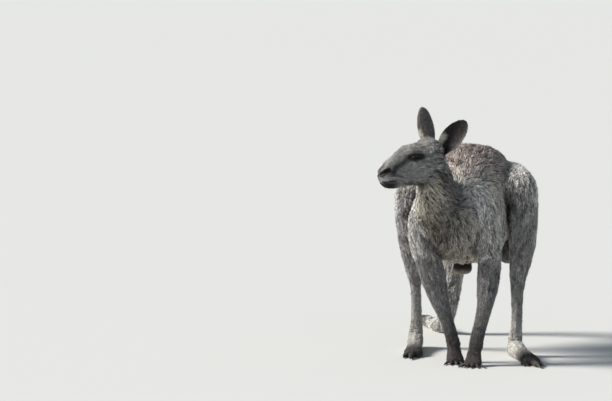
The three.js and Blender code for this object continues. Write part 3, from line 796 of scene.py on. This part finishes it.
# The lower front edge of each ear is cream, broad inside and narrow on the rim.
front_edge = is_ear * share_between(-ear_across, 0.25, 0.6) * share_between(-ear_along, -0.55, -0.4)
front_edge = front_edge * share_between(ear_along, 0.0, 0.08)
front_edge = front_edge * np.maximum(ear_hollow, share_between(-ear_across, 0.7, 0.95))
marks["cream"] = np.maximum(marks["cream"], front_edge)
marks["pale"] = np.maximum(marks["pale"], 0.5 * front_edge)
marks["dark"] = marks["dark"] * (1 - front_edge)
marks["warm"] = marks["warm"] * (1 - front_edge)
mark(
    "bare",
    is_head * along_line(NOSTRIL, 4.5, 6.5),
    is_head * share_between(-eye_gap, -1.15, -0.95),  # lids
    is_head * along_line(MOUTH[:5], 0.8, 2.0),
    is_ear * ear_hollow * 0.5 * (1 - front_edge),  # thinly furred hollow of the ear
)
spread = spread_over_skin(np.stack(list(marks.values()), axis=1), 3)
marks = dict(zip(marks, spread.T))


def add_numbers(mesh, name, values):
    layer = mesh.attributes.new(name, "FLOAT", "POINT")
    layer.data.foreach_set("value", np.asarray(values, np.float32))


for name, values in marks.items():
    add_numbers(thinned, name, values)


# One way of writing shader maths: a wrapped socket adds a Math node for each operator.
class Value:
    def __init__(self, tree, socket):
        self.tree = tree
        self.socket = socket

    def math(self, operation, *others, clamp=False):
        inputs = dict(enumerate([self.socket] + [getattr(other, "socket", other) for other in others]))
        settings = {"operation": operation, "use_clamp": clamp}
        return Value(self.tree, add_node(self.tree, "ShaderNodeMath", settings, inputs).outputs[0])

    def __add__(self, other):
        return self.math("ADD", other)

    def __mul__(self, other):
        return self.math("MULTIPLY", other)

    def __sub__(self, other):
        return self.math("SUBTRACT", other)

    def __rsub__(self, other):
        return (self * -1) + other

    __radd__ = __add__
    __rmul__ = __mul__

    def clamped(self):
        return self.math("ADD", 0.0, clamp=True)


def add_node(tree, kind, settings, inputs):
    node = tree.nodes.new(kind)
    for name, value in settings.items():
        if name == "stops":
            ramp = node.color_ramp
            while len(ramp.elements) < len(value):
                ramp.elements.new(0.5)
            for element, (place, colour) in zip(ramp.elements, value):
                element.position = place
                element.color = colour
        else:
            setattr(node, name, value)
    for key, value in inputs.items():
        value = getattr(value, "socket", value)
        if isinstance(value, bpy.types.NodeSocket):
            tree.links.new(value, node.inputs[key])
        else:
            node.inputs[key].default_value = value
    return node


def attribute(tree, name):
    return Value(tree, add_node(tree, "ShaderNodeAttribute", {"attribute_name": name}, {}).outputs["Fac"])


def noise(tree, scale, detail):
    where = add_node(tree, "ShaderNodeTexCoord", {}, {}).outputs["Object"]
    node = add_node(tree, "ShaderNodeTexNoise", {}, {"Vector": where, "Scale": scale, "Detail": detail})
    return Value(tree, node.outputs["Fac"])


def blended(tree, share, first, second, kind="MIX"):
    settings = {"data_type": "RGBA", "blend_type": kind}
    node = add_node(tree, "ShaderNodeMix", settings, {0: share, 6: first, 7: second})
    return node.outputs[2]


# Fur colours: root and tip of a hair for the grey coat and for each marking; the pale, cream and dark pairs
# also colour the painted light and shade. The markings are blotched, and each tuft is lighter or darker
# than its neighbours.
GREY = ((0.056, 0.055, 0.057, 1), (0.50, 0.485, 0.485, 1))
WARM = ((0.062, 0.046, 0.043, 1), (0.48, 0.405, 0.382, 1))
PALE = ((0.27, 0.26, 0.24, 1), (0.86, 0.84, 0.80, 1))
CREAM = ((0.15, 0.13, 0.09, 1), (0.86, 0.77, 0.59, 1))
DARK = ((0.007, 0.006, 0.006, 1), (0.045, 0.038, 0.035, 1))
BLOTCH_SCALE = 9.0
BLOTCH_DEPTH = 0.5
TONE_LEAST = 0.15
TONE_RANGE = 1.7


def fur_colour(tree, tip, tone):
    """The coat's colour; tip runs from 0 at the root to 1 at the end, tone is the tuft's own shade."""
    blotch = (noise(tree, BLOTCH_SCALE, 3.0) - 0.5) * BLOTCH_DEPTH + 1.0
    colour = blended(tree, tip, *GREY)
    for name, pair in (("warm", WARM), ("cream", CREAM), ("pale", PALE), ("dark", DARK)):
        share = (attribute(tree, name) * blotch).clamped()
        colour = blended(tree, share, colour, blended(tree, tip, *pair))
    fleck = tone * TONE_RANGE + TONE_LEAST
    fleck_colour = add_node(tree, "ShaderNodeCombineColor", {}, {0: fleck, 1: fleck, 2: fleck})
    return blended(tree, 1.0, colour, fleck_colour.outputs[0], "MULTIPLY")


skin_paint, tree, inputs = new_paint("skin", {"Specular IOR Level": 0.18})
short_fur = noise(tree, 420.0, 2.0)
pores = noise(tree, 900.0, 3.0)
bare = attribute(tree, "bare")
tree.links.new(fur_colour(tree, short_fur * 0.5 + 0.1, noise(tree, 90.0, 2.0)), inputs["Base Color"])
tree.links.new((0.8 - 0.35 * bare + 0.1 * pores).socket, inputs["Roughness"])
relief = short_fur * (1 - bare) + pores * bare * 0.6
bump = add_node(tree, "ShaderNodeBump", {}, {"Strength": 0.5, "Distance": 0.8 * MM, "Height": relief})
tree.links.new(bump.outputs["Normal"], inputs["Normal"])
thinned.materials.clear()
thinned.materials.append(skin_paint)

skin = placed("skin", smoothed(thinned))
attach(skin, "root")
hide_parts(*FLESH)


# ------------------------------------------------------------------------------------------ the eyes
# Dark brown balls with a clear dome in front, half hidden by the lids. The pupil is wide and black, the
# iris hardly paler, and the wet surface mirrors the lights.
DOME = 0.05  # height as a share of the ball
DOME_TILT = 0.55  # width as an angle from the gaze
EYE_RINGS = 26
EYE_SPOKES = 40
tilts = np.linspace(0, math.pi, EYE_RINGS)[1:-1]
turns = np.linspace(0, 2 * math.pi, EYE_SPOKES, endpoint=False)

eye_paint, tree, inputs = new_paint("eyeball", {"Roughness": 0.05, "IOR": 1.22})
rays = noise(tree, 700.0, 2.0)
EYE_STOPS = [  # from the middle of the pupil to the back of the ball
    (0.0, (0.002, 0.0015, 0.001, 1)),
    (0.075, (0.002, 0.0015, 0.001, 1)),
    (0.095, (0.014, 0.007, 0.004, 1)),
    (0.19, (0.009, 0.005, 0.003, 1)),
    (0.225, (0.004, 0.003, 0.002, 1)),
    (1.0, (0.02, 0.014, 0.012, 1)),
]
ring = (attribute(tree, "tilt") + (rays - 0.5) * 0.03).clamped()
ramp = add_node(tree, "ShaderNodeValToRGB", {"stops": EYE_STOPS}, {0: ring})
tree.links.new(ramp.outputs["Color"], inputs["Base Color"])

for side, name in ((1, "left"), (-1, "right")):
    gaze, slit, rise = (direction @ head_axes for direction in eye_frame(side))
    around = np.cos(turns)[:, None] * slit + np.sin(turns)[:, None] * np.cross(gaze, slit)
    radii = EYE_RADIUS * MM * (1 + DOME * by_gap(tilts, DOME_TILT))
    rings = [radius * (math.cos(tilt) * gaze + math.sin(tilt) * around) for tilt, radius in zip(tilts, radii)]
    poles = [gaze * EYE_RADIUS * MM * (1 + DOME), -gaze * EYE_RADIUS * MM]
    ball_points = np.vstack([poles[0], *rings, poles[1]]) + middle_of("eye_" + name)
    ball_faces = []
    for j in range(len(turns)):
        after = (j + 1) % len(turns)
        ball_faces.append((0, 1 + j, 1 + after))
        for i in range(len(tilts) - 1):
            near, far = 1 + i * len(turns), 1 + (i + 1) * len(turns)
            ball_faces += [(near + j, far + j, far + after), (near + j, far + after, near + after)]
        last = 1 + (len(tilts) - 1) * len(turns)
        ball_faces.append((last + j, last + len(turns), last + after))
    ball_mesh = smoothed(mesh_from("eyeball_" + name, ball_points, np.array(ball_faces)))
    add_numbers(ball_mesh, "tilt", np.concatenate([[0], np.repeat(tilts / math.pi, len(turns)), [1]]))
    ball_mesh.materials.append(eye_paint)
    eyeball = placed("eyeball_" + name, ball_mesh)
    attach(eyeball, "root")
    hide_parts("eye_" + name)


# ------------------------------------------------------------------------------------------ the claws
# Blunt black-brown horn, worn at the points: five claws on each hand, four on each foot. Each is its
# plain solid made round, and one piece holds the claws of a paw.
CLAW_FULLER = 1.13  # rounding makes it smaller, so the solid is made this much larger first
CLAW_CLEARANCE = 0.2 * MM
CLAW_LEVELS = 2
WELD = 0.01  # corners that lie within this many mm of each other are one

horn_paint, tree, inputs = new_paint("claw horn", {"Specular IOR Level": 0.45})
grain = noise(tree, 160.0, 4.0)
worn = noise(tree, 45.0, 2.0)
horn = blended(tree, grain, (0.010, 0.009, 0.009, 1), (0.040, 0.034, 0.030, 1))
horn = blended(tree, (worn - 0.45).clamped(), horn, (0.11, 0.095, 0.08, 1))
tree.links.new(horn, inputs["Base Color"])
tree.links.new((0.34 + 0.3 * worn).socket, inputs["Roughness"])
bump = add_node(tree, "ShaderNodeBump", {}, {"Strength": 0.4, "Distance": 0.4 * MM, "Height": grain})
tree.links.new(bump.outputs["Normal"], inputs["Normal"])


def rounded_claw(node):
    places, corners = solid_of(node)
    keys, welded = np.unique(np.round(places / (WELD * MM)).astype(np.int64), axis=0, return_inverse=True)
    points = keys * WELD * MM
    middle = points.mean(axis=0)
    return middle + (points - middle) * CLAW_FULLER, welded.reshape(-1)[corners]


for paw in PAWS:
    claw_nodes = sorted(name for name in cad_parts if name.startswith("claw_" + paw))
    rough_points, rough_faces = stacked([rounded_claw(name) for name in claw_nodes])
    rough = placed("rough", mesh_from("rough", rough_points, rough_faces))
    rounding = rough.modifiers.new("rounding", "SUBSURF")
    rounding.levels = CLAW_LEVELS
    rounding.render_levels = CLAW_LEVELS
    claw_mesh = made_plain(rough)
    places = points_of(claw_mesh)
    places[:, 2] = np.maximum(places[:, 2], CLAW_CLEARANCE)
    move_points(claw_mesh, places)
    claw_mesh.materials.clear()
    claw_mesh.materials.append(horn_paint)
    claws = placed("claws_" + paw, smoothed(claw_mesh))
    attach(claws, "root")
    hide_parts(*claw_nodes)


# --------------------------------------------------------------------------- the whiskers and lashes
# Stiff single hairs: whiskers on the upper lip and chin, a few feelers over the eye, and dark lashes
# along both lids. One tree grows a bent, tapered hair on each root, turned to its own direction.
single_hair = bpy.data.node_groups.new("single hairs", "GeometryNodeTree")
sockets = single_hair.interface
sockets.new_socket("Roots", in_out="INPUT", socket_type="NodeSocketGeometry")
for label, kind, value in (
    ("Thickness", "NodeSocketFloat", 0.0004),
    ("Bend", "NodeSocketFloat", 0.2),
    ("Steps", "NodeSocketInt", 6),
    ("Sides", "NodeSocketInt", 4),
    ("Seed", "NodeSocketInt", 5),
):
    sockets.new_socket(label, in_out="INPUT", socket_type=kind).default_value = value
sockets.new_socket("Material", in_out="INPUT", socket_type="NodeSocketMaterial")
sockets.new_socket("Hairs", in_out="OUTPUT", socket_type="NodeSocketGeometry")

given = add_node(single_hair, "NodeGroupInput", {}, {}).outputs
middle_place = add_node(single_hair, "ShaderNodeCombineXYZ", {}, {"X": 0.0, "Z": 0.5}).outputs[0]
end_place = add_node(single_hair, "ShaderNodeCombineXYZ", {}, {"X": given["Bend"], "Z": 0.95}).outputs[0]
stalk = add_node(single_hair, "GeometryNodeCurveQuadraticBezier", {},
                 {"Resolution": given["Steps"], "Start": (0, 0, 0), "Middle": middle_place, "End": end_place})
share = Value(single_hair, add_node(single_hair, "GeometryNodeSplineParameter", {}, {}).outputs["Factor"])
tapered = add_node(single_hair, "GeometryNodeSetCurveRadius", {},
                   {"Curve": stalk.outputs[0], "Radius": 1.05 - share})
marked = add_node(single_hair, "GeometryNodeStoreNamedAttribute", {"data_type": "FLOAT", "domain": "POINT"},
                  {"Geometry": tapered.outputs[0], "Name": "tip", "Value": share})
outline = add_node(single_hair, "GeometryNodeCurvePrimitiveCircle", {},
                   {"Resolution": given["Sides"], "Radius": given["Thickness"]})
hair_body = add_node(single_hair, "GeometryNodeCurveToMesh", {},
                     {"Curve": marked.outputs[0], "Profile Curve": outline.outputs[0], "Fill Caps": True})
aim, fall, size = (
    add_node(single_hair, "GeometryNodeInputNamedAttribute", {"data_type": kind}, {"Name": label})
    for label, kind in (("aim", "FLOAT_VECTOR"), ("fall", "FLOAT_VECTOR"), ("size", "FLOAT"))
)
aimed = add_node(single_hair, "FunctionNodeAlignRotationToVector", {"axis": "Z"}, {"Vector": aim.outputs[0]})
rolled = add_node(single_hair, "FunctionNodeAlignRotationToVector", {"axis": "X", "pivot_axis": "Z"},
                  {"Rotation": aimed.outputs[0], "Vector": fall.outputs[0]})
vary = add_node(single_hair, "FunctionNodeRandomValue", {"data_type": "FLOAT"},
                {"Seed": given["Seed"], 2: 0.8, 3: 1.15})
grown = add_node(single_hair, "GeometryNodeInstanceOnPoints", {}, {
    "Points": given["Roots"], "Instance": hair_body.outputs[0], "Rotation": rolled.outputs[0],
    "Scale": Value(single_hair, size.outputs[0]) * Value(single_hair, vary.outputs[1]),
})
realized = add_node(single_hair, "GeometryNodeRealizeInstances", {}, {"Geometry": grown.outputs[0]})
painted = add_node(single_hair, "GeometryNodeSetMaterial", {},
                   {"Geometry": realized.outputs[0], "Material": given["Material"]})
add_node(single_hair, "NodeGroupOutput", {}, {"Hairs": painted.outputs[0]})

bristle_paint, tree, inputs = new_paint("bristles", {"Roughness": 0.6, "Specular IOR Level": 0.1})
bristle = blended(tree, attribute(tree, "tip"), (0.006, 0.005, 0.005, 1), (0.06, 0.05, 0.045, 1))
tree.links.new(bristle, inputs["Base Color"])


def grow_hairs(name, roots, aims, falls, sizes, settings):
    mesh = bpy.data.meshes.new(name)
    mesh.from_pydata([tuple(root) for root in roots], [], [])
    for label, vectors in (("aim", aims), ("fall", falls)):
        layer = mesh.attributes.new(label, "FLOAT_VECTOR", "POINT")
        layer.data.foreach_set("vector", np.asarray(vectors, np.float32).ravel())
    add_numbers(mesh, "size", sizes)
    seedbed = placed("seedbed", mesh)
    growth = seedbed.modifiers.new("growth", "NODES")
    growth.node_group = single_hair
    values = {**settings, "Material": bristle_paint}
    for item in single_hair.interface.items_tree:
        if item.in_out == "INPUT" and item.name in values:
            growth[item.identifier] = values[item.name]
    hair_mesh = made_plain(seedbed)
    hair_mesh.name = name
    hair_mesh.materials.pop(index=0)  # the empty slot of the roots, which have no faces
    hairs = placed(name, smoothed(hair_mesh))
    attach(hairs, "root")


# Whisker roots in the head's millimetres, each with the length of its whisker: rows along the upper
# lip, the chin, and over the eye.
WHISKERS = [((20 + 1.6 * row, 16 + 8 * k, -6 - 6 * row - 0.8 * k), 34 + 5 * k - 3 * row)
            for row in range(3) for k in range(5)]
WHISKERS += [((12, 22 + 7 * k, -46), 18) for k in range(3)]
WHISKERS += [((40, 92 + 7 * k, 66), 26) for k in range(4)]
ground = search_tree(skin_points)
skin_normals = normals_of(skin_points, skin_faces)
WHISKER_SEED = 7
WHISKER_SPREAD = 0.12
LASH_SPREAD = 0.08
ROOT_SUNK = 1 * MM
draw = np.random.default_rng(WHISKER_SEED)
roots, aims, falls, sizes = [], [], [], []
for place, size_mm in WHISKERS:
    for side in (1, -1):
        spot = nose_tip + MM * (np.array(place) * [side, 1, 1]) @ head_axes
        index = ground.find(spot)[1]
        roots.append(skin_points[index] - skin_normals[index] * ROOT_SUNK)
        aim_way = skin_normals[index] * 0.9 + head_back * 0.75 + draw.normal(0, WHISKER_SPREAD, 3)
        aims.append(unit(aim_way))
        falls.append(head_back * 0.6 - head_up * 0.8)
        sizes.append(size_mm * MM)
grow_hairs("whiskers", roots, aims, falls, sizes, {"Thickness": 0.009, "Bend": 0.22, "Steps": 7, "Sides": 4})

# Lashes stand out along both lids; the upper ones are longer, droop and turn up at their ends.
LASHES = 26
LASH_DROOP = 0.35
LASH_FAN = 0.7
LASH_ROWS = ((1, OPENING_ABOVE, 8.5), (-1, -OPENING_BELOW, 4))  # upward or down, edge, length in mm
roots, aims, falls, sizes = [], [], [], []
for side, name in ((1, "left"), (-1, "right")):
    gaze, slit, rise = eye_frame(side)
    for upper, edge, size_mm in LASH_ROWS:
        for along in np.linspace(-0.88, 0.92, LASHES):
            across = edge * (1 - along**2) + 0.8 * upper
            flat = np.array([OPENING_HALF * along, across])
            depth = math.sqrt((EYE_RADIUS + LID) ** 2 - min(flat @ flat, EYE_RADIUS**2))
            spot = gaze * (depth + 0.2) + slit * flat[0] + rise * flat[1]
            roots.append(middle_of("eye_" + name) + MM * spot @ head_axes)
            aim_way = gaze - rise * LASH_DROOP + slit * LASH_FAN * along + draw.normal(0, LASH_SPREAD, 3)
            aims.append(unit(aim_way) @ head_axes)
            falls.append(rise * upper @ head_axes)
            sizes.append(size_mm * MM * (1 - 0.3 * along**2))
grow_hairs("lashes", roots, aims, falls, sizes, {"Thickness": 0.035, "Bend": 0.35, "Steps": 5, "Sides": 3})


# ------------------------------------------------------------------------------------------ the coat
# The hair grows in small tufts that lie along the body: back from the nose, down the neck and limbs,
# towards the tail. Each tuft is a thin closed spindle, and neighbours lean together in locks.
def long_axis(name, towards):
    places, _ = solid_of(name)
    spread = places - places.mean(axis=0)
    axis = np.linalg.svd(spread, full_matrices=False)[2][0]
    return axis if axis @ towards > 0 else -axis


def step(first, second):
    return middle_of(second) - middle_of(first)


lie_of_part = {
    "neck": step("head", "chest"),
    "chest": np.array([0, 0.45, -0.75]),
    "belly": np.array([0, 0.85, -0.5]),
    "rump": np.array([0, 0.8, -0.6]),
    "scrotum": np.array([0, 0.2, -1.0]),
    "tail_base": step("rump", "tail_middle"),
    "tail_middle": long_axis("tail_middle", step("tail_base", "tail_tip")),
    "tail_tip": long_axis("tail_tip", step("tail_middle", "tail_tip")),
}
for side in ("left", "right"):
    lie_of_part["thigh_" + side] = unit(step("thigh_" + side, "shank_" + side)) + np.array([0, 0.3, -0.5])
    lie_of_part["shank_" + side] = long_axis("shank_" + side, step("thigh_" + side, "foot_" + side))
    lie_of_part["foot_" + side] = long_axis("foot_" + side, np.array([0, -1.0, 0]))
    lie_of_part["upper_arm_" + side] = long_axis("upper_arm_" + side, np.array([0, 0, -1.0]))
    lie_of_part["forearm_" + side] = long_axis("forearm_" + side, np.array([0, 0, -1.0]))
    lie_of_part["hand_" + side] = np.array([0, -0.8, -0.6])
    lie_of_part["ear_" + side] = long_axis("ear_" + side, np.array([0, 0, 1.0]))

NOSE_WHORL = nose_tip - 12 * MM * head_back
lie = np.zeros_like(skin_points)
for name, direction in lie_of_part.items():
    lie[skin_label == LABELS[name]] = unit(direction)
from_nose = unit(skin_points - NOSE_WHORL)
lie[is_head] = from_nose[is_head]


def laid_flat(vectors, normals):
    flat = vectors - normals * (vectors * normals).sum(axis=1, keepdims=True)
    return unit(flat)


def ripple(points, length, seed, waves=7):
    """A smooth random number about 0 at each point, with waves of about this length."""
    draw = np.random.default_rng(seed)
    directions = unit(draw.normal(size=(waves, 3))) * (2 * math.pi / length)
    phases = draw.random(waves) * 2 * math.pi
    return np.sin(points @ directions.T + phases).sum(axis=1) / math.sqrt(waves)


def turned(vectors, normals, angle):
    sideways = np.cross(normals, vectors)
    return vectors * np.cos(angle)[:, None] + sideways * np.sin(angle)[:, None]


# On the breast the hair parts in the middle and sweeps down and out to the elbows.
chest_middle = middle_of("chest")[0]
for side, outer in (("left", 1), ("right", -1)):
    low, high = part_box("upper_arm_" + side)
    elbow = np.array([(low.x + high.x) / 2, (low.y + high.y) / 2, low.z])
    share = in_part("chest") * share_between(outer * (skin_points[:, 0] - chest_middle), -0.01, 0.08)
    lie = lie + 0.9 * share[:, None] * unit(elbow - skin_points)

# On top of the shoulders it runs back and outward, so that the neck's hair does not end in a whorl.
share = in_part("chest") * share_between(skin_normals[:, 2], 0.15, 0.6)
lean_out = np.sign(skin_points[:, 0] - chest_middle)[:, None] * np.array([0.35, 0, 0])
lie = lie * (1 - share[:, None]) + share[:, None] * (np.array([0, 1.0, 0]) + lean_out)

LIE_ROUNDS = 6
SWAY = ((0.17, 0.06, 3), (0.12, 0.021, 4))  # turn in radians, length of the waves in metres, seed
lie = laid_flat(lie, skin_normals)
for _ in range(LIE_ROUNDS):
    lie = laid_flat(spread_over_skin(lie, 5), skin_normals)
sway = sum(turn * ripple(skin_points, wave, seed) for turn, wave, seed in SWAY)
sway = sway * share_between(hair_length, 4, 16)
lie = turned(lie, skin_normals, sway)

# Where the roots stand: close together where the hair is short, in all this many.
TUFTS = 244000
CLOSENESS = {"head": 0.95, "ear": 0.42, "hand": 0.5, "foot": 0.6, "chest": 1.3, "belly": 1.1, "rump": 1.05,
             "thigh": 1.15, "scrotum": 0.5, "neck": 1.2}
WIDTH_SHARE = 0.072  # of the tuft's length, on top of the least width in mm
WIDTH_LEAST = 0.5
LIFT_ROOT = 34  # degrees off the skin
LIFT_TIP = 15
ROOT_DEPTH = 0.05  # this and the next two are shares of the tuft's length
MIDDLE_AT = 0.45
TIP_AT = 0.95
TIP_HIGHER = 1.1
COAT_CLEARANCE = 0.3 * MM
CROWDING_POWER = 0.8
BALD = 0.6  # no tuft stands where the skin is barer than this
TURN_SPREAD = 0.16  # radians to either side of the lie
LIFT_SPREAD = 0.16
LENGTHS = (0.72, 1.2)  # shortest and longest tuft at a place, as shares of the hair's length there
WIDTHS = (0.75, 1.25)
ROOT_SEED = 11
TUFT_SEED = 12
GUIDE_SEED = 21
a, b, c = (skin_points[skin_faces[:, k]] for k in range(3))
face_area = np.linalg.norm(np.cross(b - a, c - a), axis=1) / 2
closeness = spread_over_skin(by_part(CLOSENESS), 12)[skin_faces].mean(axis=1)
crowding = face_area * closeness / hair_length[skin_faces].mean(axis=1) ** CROWDING_POWER
crowding[marks["bare"][skin_faces].mean(axis=1) > BALD] = 0


def planted(count, seed):
    draw = np.random.default_rng(seed)
    chosen = np.sort(draw.choice(len(skin_faces), count, p=crowding / crowding.sum()))
    u, v = draw.random((2, count))
    over = u + v > 1
    shares = np.stack([np.where(over, 1 - u, u), np.where(over, 1 - v, v)], axis=1)
    return chosen, np.column_stack([1 - shares.sum(axis=1), shares])


def at_root(values, chosen, shares):
    corners = values[skin_faces[chosen]]
    return (corners * shares.reshape(len(chosen), 3, *[1] * (values.ndim - 1))).sum(axis=1)


chosen, shares = planted(TUFTS, ROOT_SEED)
draw = np.random.default_rng(TUFT_SEED)
roots = at_root(skin_points, chosen, shares)
up = unit(at_root(skin_normals, chosen, shares))
along = laid_flat(at_root(lie, chosen, shares), up)
along = turned(along, up, draw.normal(0, TURN_SPREAD, TUFTS))
length = at_root(hair_length, chosen, shares) * draw.uniform(*LENGTHS, TUFTS)
width = (WIDTH_LEAST + WIDTH_SHARE * length) * draw.uniform(*WIDTHS, TUFTS)
lift = draw.normal(1.0, LIFT_SPREAD, TUFTS)

# Locks: guides stand all over the skin, each with a shade and a height of its own. A tuft takes the
# mean of the guides before and behind it along the lie, so that neighbours in a row match, and it
# leans sideways to the row of its nearest guide.
GUIDES = TUFTS // 5
ROW_STEPS = (-0.55, 0.0, 0.55)  # along the lie, in lengths of the tuft
GATHER = 0.6  # share of the way to its row that a long tuft's tip leans
GATHER_MIDDLE = 0.35  # and share of that lean that its middle has
LOCK_LIFT = 0.3
LOCK_LIFT_ENDS = (0.5, 1.5)
guide_chosen, guide_shares = planted(GUIDES, GUIDE_SEED)
guide_roots = at_root(skin_points, guide_chosen, guide_shares)
guide_shade, guide_height = draw.normal(size=(2, GUIDES))
guides = search_tree(guide_roots)


def guides_at(points):
    return np.array([guides.find(place)[1] for place in points])


rows = [guides_at(roots + along * (reach * length * MM)[:, None]) for reach in ROW_STEPS]
evened = math.sqrt(len(ROW_STEPS))
lock_shade = sum(guide_shade[row] for row in rows) / evened
lock_height = sum(guide_height[row] for row in rows) / evened
lift = lift * np.clip(1 + LOCK_LIFT * lock_height, *LOCK_LIFT_ENDS)
pull = guide_roots[rows[1]] - roots
pull = pull - along * (pull * along).sum(axis=1, keepdims=True)
pull = pull * (GATHER * share_between(length, 3, 14))[:, None]


def raised(level_points, height):
    below_them = np.array([ground.find(place)[1] for place in level_points])
    normal = skin_normals[below_them]
    gap = ((level_points - skin_points[below_them]) * normal).sum(axis=1)
    return level_points + normal * (height * MM - gap)[:, None]


reach = length[:, None] * MM
middle_height = MIDDLE_AT * length * math.sin(math.radians(LIFT_ROOT)) * lift
tip_height = length * math.sin(math.radians(LIFT_TIP)) * lift * TIP_HIGHER
middles = raised(roots + along * reach * MIDDLE_AT + pull * GATHER_MIDDLE, middle_height)
tips = raised(roots + along * reach * TIP_AT + pull, tip_height)
roots = roots - up * (ROOT_DEPTH * length[:, None] * MM)

SPINDLE_ABOVE = 0.7  # height of the spindle's ridge and depth of its keel, in half widths
SPINDLE_BELOW = 0.35
side_way = unit(np.cross(tips - roots, up))
top_way = unit(np.cross(side_way, tips - roots))
half_width = (width / 2 * MM)[:, None]
corners = np.stack([
    roots,
    middles + side_way * half_width - top_way * half_width * SPINDLE_BELOW,
    middles + top_way * half_width * SPINDLE_ABOVE,
    middles - side_way * half_width - top_way * half_width * SPINDLE_BELOW,
    tips,
], axis=1)
corners[:, :, 2] = np.maximum(corners[:, :, 2], COAT_CLEARANCE)
SPINDLE = np.array([[0, 1, 2], [0, 2, 3], [0, 3, 1], [4, 2, 1], [4, 3, 2], [4, 1, 3]])
SPINDLE_TIP = [0, 0.5, 0.62, 0.5, 1]  # how far each corner is on the way from root to tip

# A lock that stands higher is painted lighter and one that lies low darker: painted light and shade on the
# locks.
LOCK_SHADE = 0.24  # how much a tuft's tone owes to its lock's shade, its lock's height and itself
LOCK_HEIGHT = 0.1
OWN_SHADE = 0.12
tuft_label = skin_label[skin_faces[chosen, 0]]
tuft_tone = LOCK_SHADE * lock_shade + LOCK_HEIGHT * lock_height + OWN_SHADE * draw.normal(size=TUFTS)
tuft_tone = np.clip(0.5 + tuft_tone * (0.5 + 0.4 * share_between(length, 4, 20)), 0, 1)
tuft_marks = {name: at_root(values, chosen, shares) for name, values in marks.items() if name != "bare"}


# The unwrap: each part is rolled out round its own long axis, hollow sides apart, and each tuft has a
# small patch of its own there.
def rolled_out(points, normals, labels):
    places = np.zeros((len(points), 2))
    hollow = np.zeros(len(points), bool)
    for name in FLESH:
        mine = labels == LABELS[name]
        if not mine.any():
            continue
        axis = unit(lie_of_part.get(name, head_back).astype(float))
        spread = points[mine] - middle_of(name)
        level = spread @ axis
        outward = spread - level[:, None] * axis
        sideways = unit(np.cross(axis, [0.3, 0.5, 0.81]))
        turn = np.arctan2(outward @ np.cross(axis, sideways), outward @ sideways) / (2 * math.pi) + 0.5
        places[mine] = np.column_stack([turn, (level - level.min()) / max(np.ptp(level), 1e-6)])
        hollow[mine] = (normals[mine] * outward).sum(axis=1) < 0
    return places, hollow


COAT_PIECES = {
    "coat_chest": (("chest",), "coat_belly"),
    "coat_belly": (("belly",), "coat_back"),
    "coat_rump": (("rump",), "coat_back"),
    "coat_neck": (("neck",), "coat_belly"),
    "coat_head": (("head",), "coat_face"),
    "coat_ears": (("ear_left", "ear_right"), "coat_ears"),
    "coat_paws": (PAWS + ("scrotum",), "coat_paws"),
    "coat_tail": (("tail_base", "tail_middle", "tail_tip"), "coat_back"),
    "coat_thigh_left": (("thigh_left",), "coat_back"),
    "coat_thigh_right": (("thigh_right",), "coat_back"),
    "coat_shanks": (("shank_left", "shank_right"), "coat_limbs"),
    "coat_upper_arms": (("upper_arm_left", "upper_arm_right"), "coat_limbs"),
    "coat_forearms": (("forearm_left", "forearm_right"), "coat_limbs"),
}
OUTER_STRIP = (0.01, 0.81)  # start and width of the outer side on its part's strip of the map
HOLLOW_STRIP = (0.84, 0.14)
STRIP_ENDS = (0.005, 0.985)  # start and height
PATCH = 0.003
PATCH_SHAPE = np.array([[0, 0], [-0.4, 0.45], [0, 0.5], [0.4, 0.45], [0, 1]]) * PATCH

fur_paint, tree, inputs = new_paint("fur", {"Roughness": 0.65, "Specular IOR Level": 0.13})
tree.links.new(fur_colour(tree, attribute(tree, "tip"), attribute(tree, "tone")), inputs["Base Color"])

places, hollow = rolled_out(roots, up, tuft_label)
for piece_name, (parts, slot_name) in COAT_PIECES.items():
    mesh_points, mesh_map, numbers = [], [], []
    for strip, part in enumerate(parts):
        mine = np.flatnonzero(tuft_label == LABELS[part])
        left = (strip + np.where(hollow[mine], HOLLOW_STRIP[0], OUTER_STRIP[0])) / len(parts)
        wide = np.where(hollow[mine], HOLLOW_STRIP[1], OUTER_STRIP[1]) / len(parts)
        level = STRIP_ENDS[0] + STRIP_ENDS[1] * places[mine, 1]
        spot = np.column_stack([left + wide * places[mine, 0], level])
        mesh_map.append(spot[:, None, :] + PATCH_SHAPE)
        mesh_points.append(corners[mine])
        numbers.append(mine)
    mine = np.concatenate(numbers)
    mesh_points = np.concatenate(mesh_points).reshape(-1, 3)
    mesh_map = np.concatenate(mesh_map).reshape(-1, 2)
    mesh_faces = (np.arange(len(mine))[:, None, None] * len(SPINDLE_TIP) + SPINDLE).reshape(-1, 3)
    coat_mesh = smoothed(mesh_from(piece_name, mesh_points, mesh_faces))
    add_numbers(coat_mesh, "tip", np.tile(SPINDLE_TIP, len(mine)))
    add_numbers(coat_mesh, "tone", np.repeat(tuft_tone[mine], len(SPINDLE_TIP)))
    for name, values in tuft_marks.items():
        add_numbers(coat_mesh, name, np.repeat(values[mine], len(SPINDLE_TIP)))
    bake_map = coat_mesh.uv_layers.new(name="OFBake")
    bake_map.uv.foreach_set("vector", mesh_map[mesh_faces.ravel()].astype(np.float32).ravel())
    coat_mesh.materials.append(fur_paint)
    coat = placed(piece_name, coat_mesh)
    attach(coat, "root")
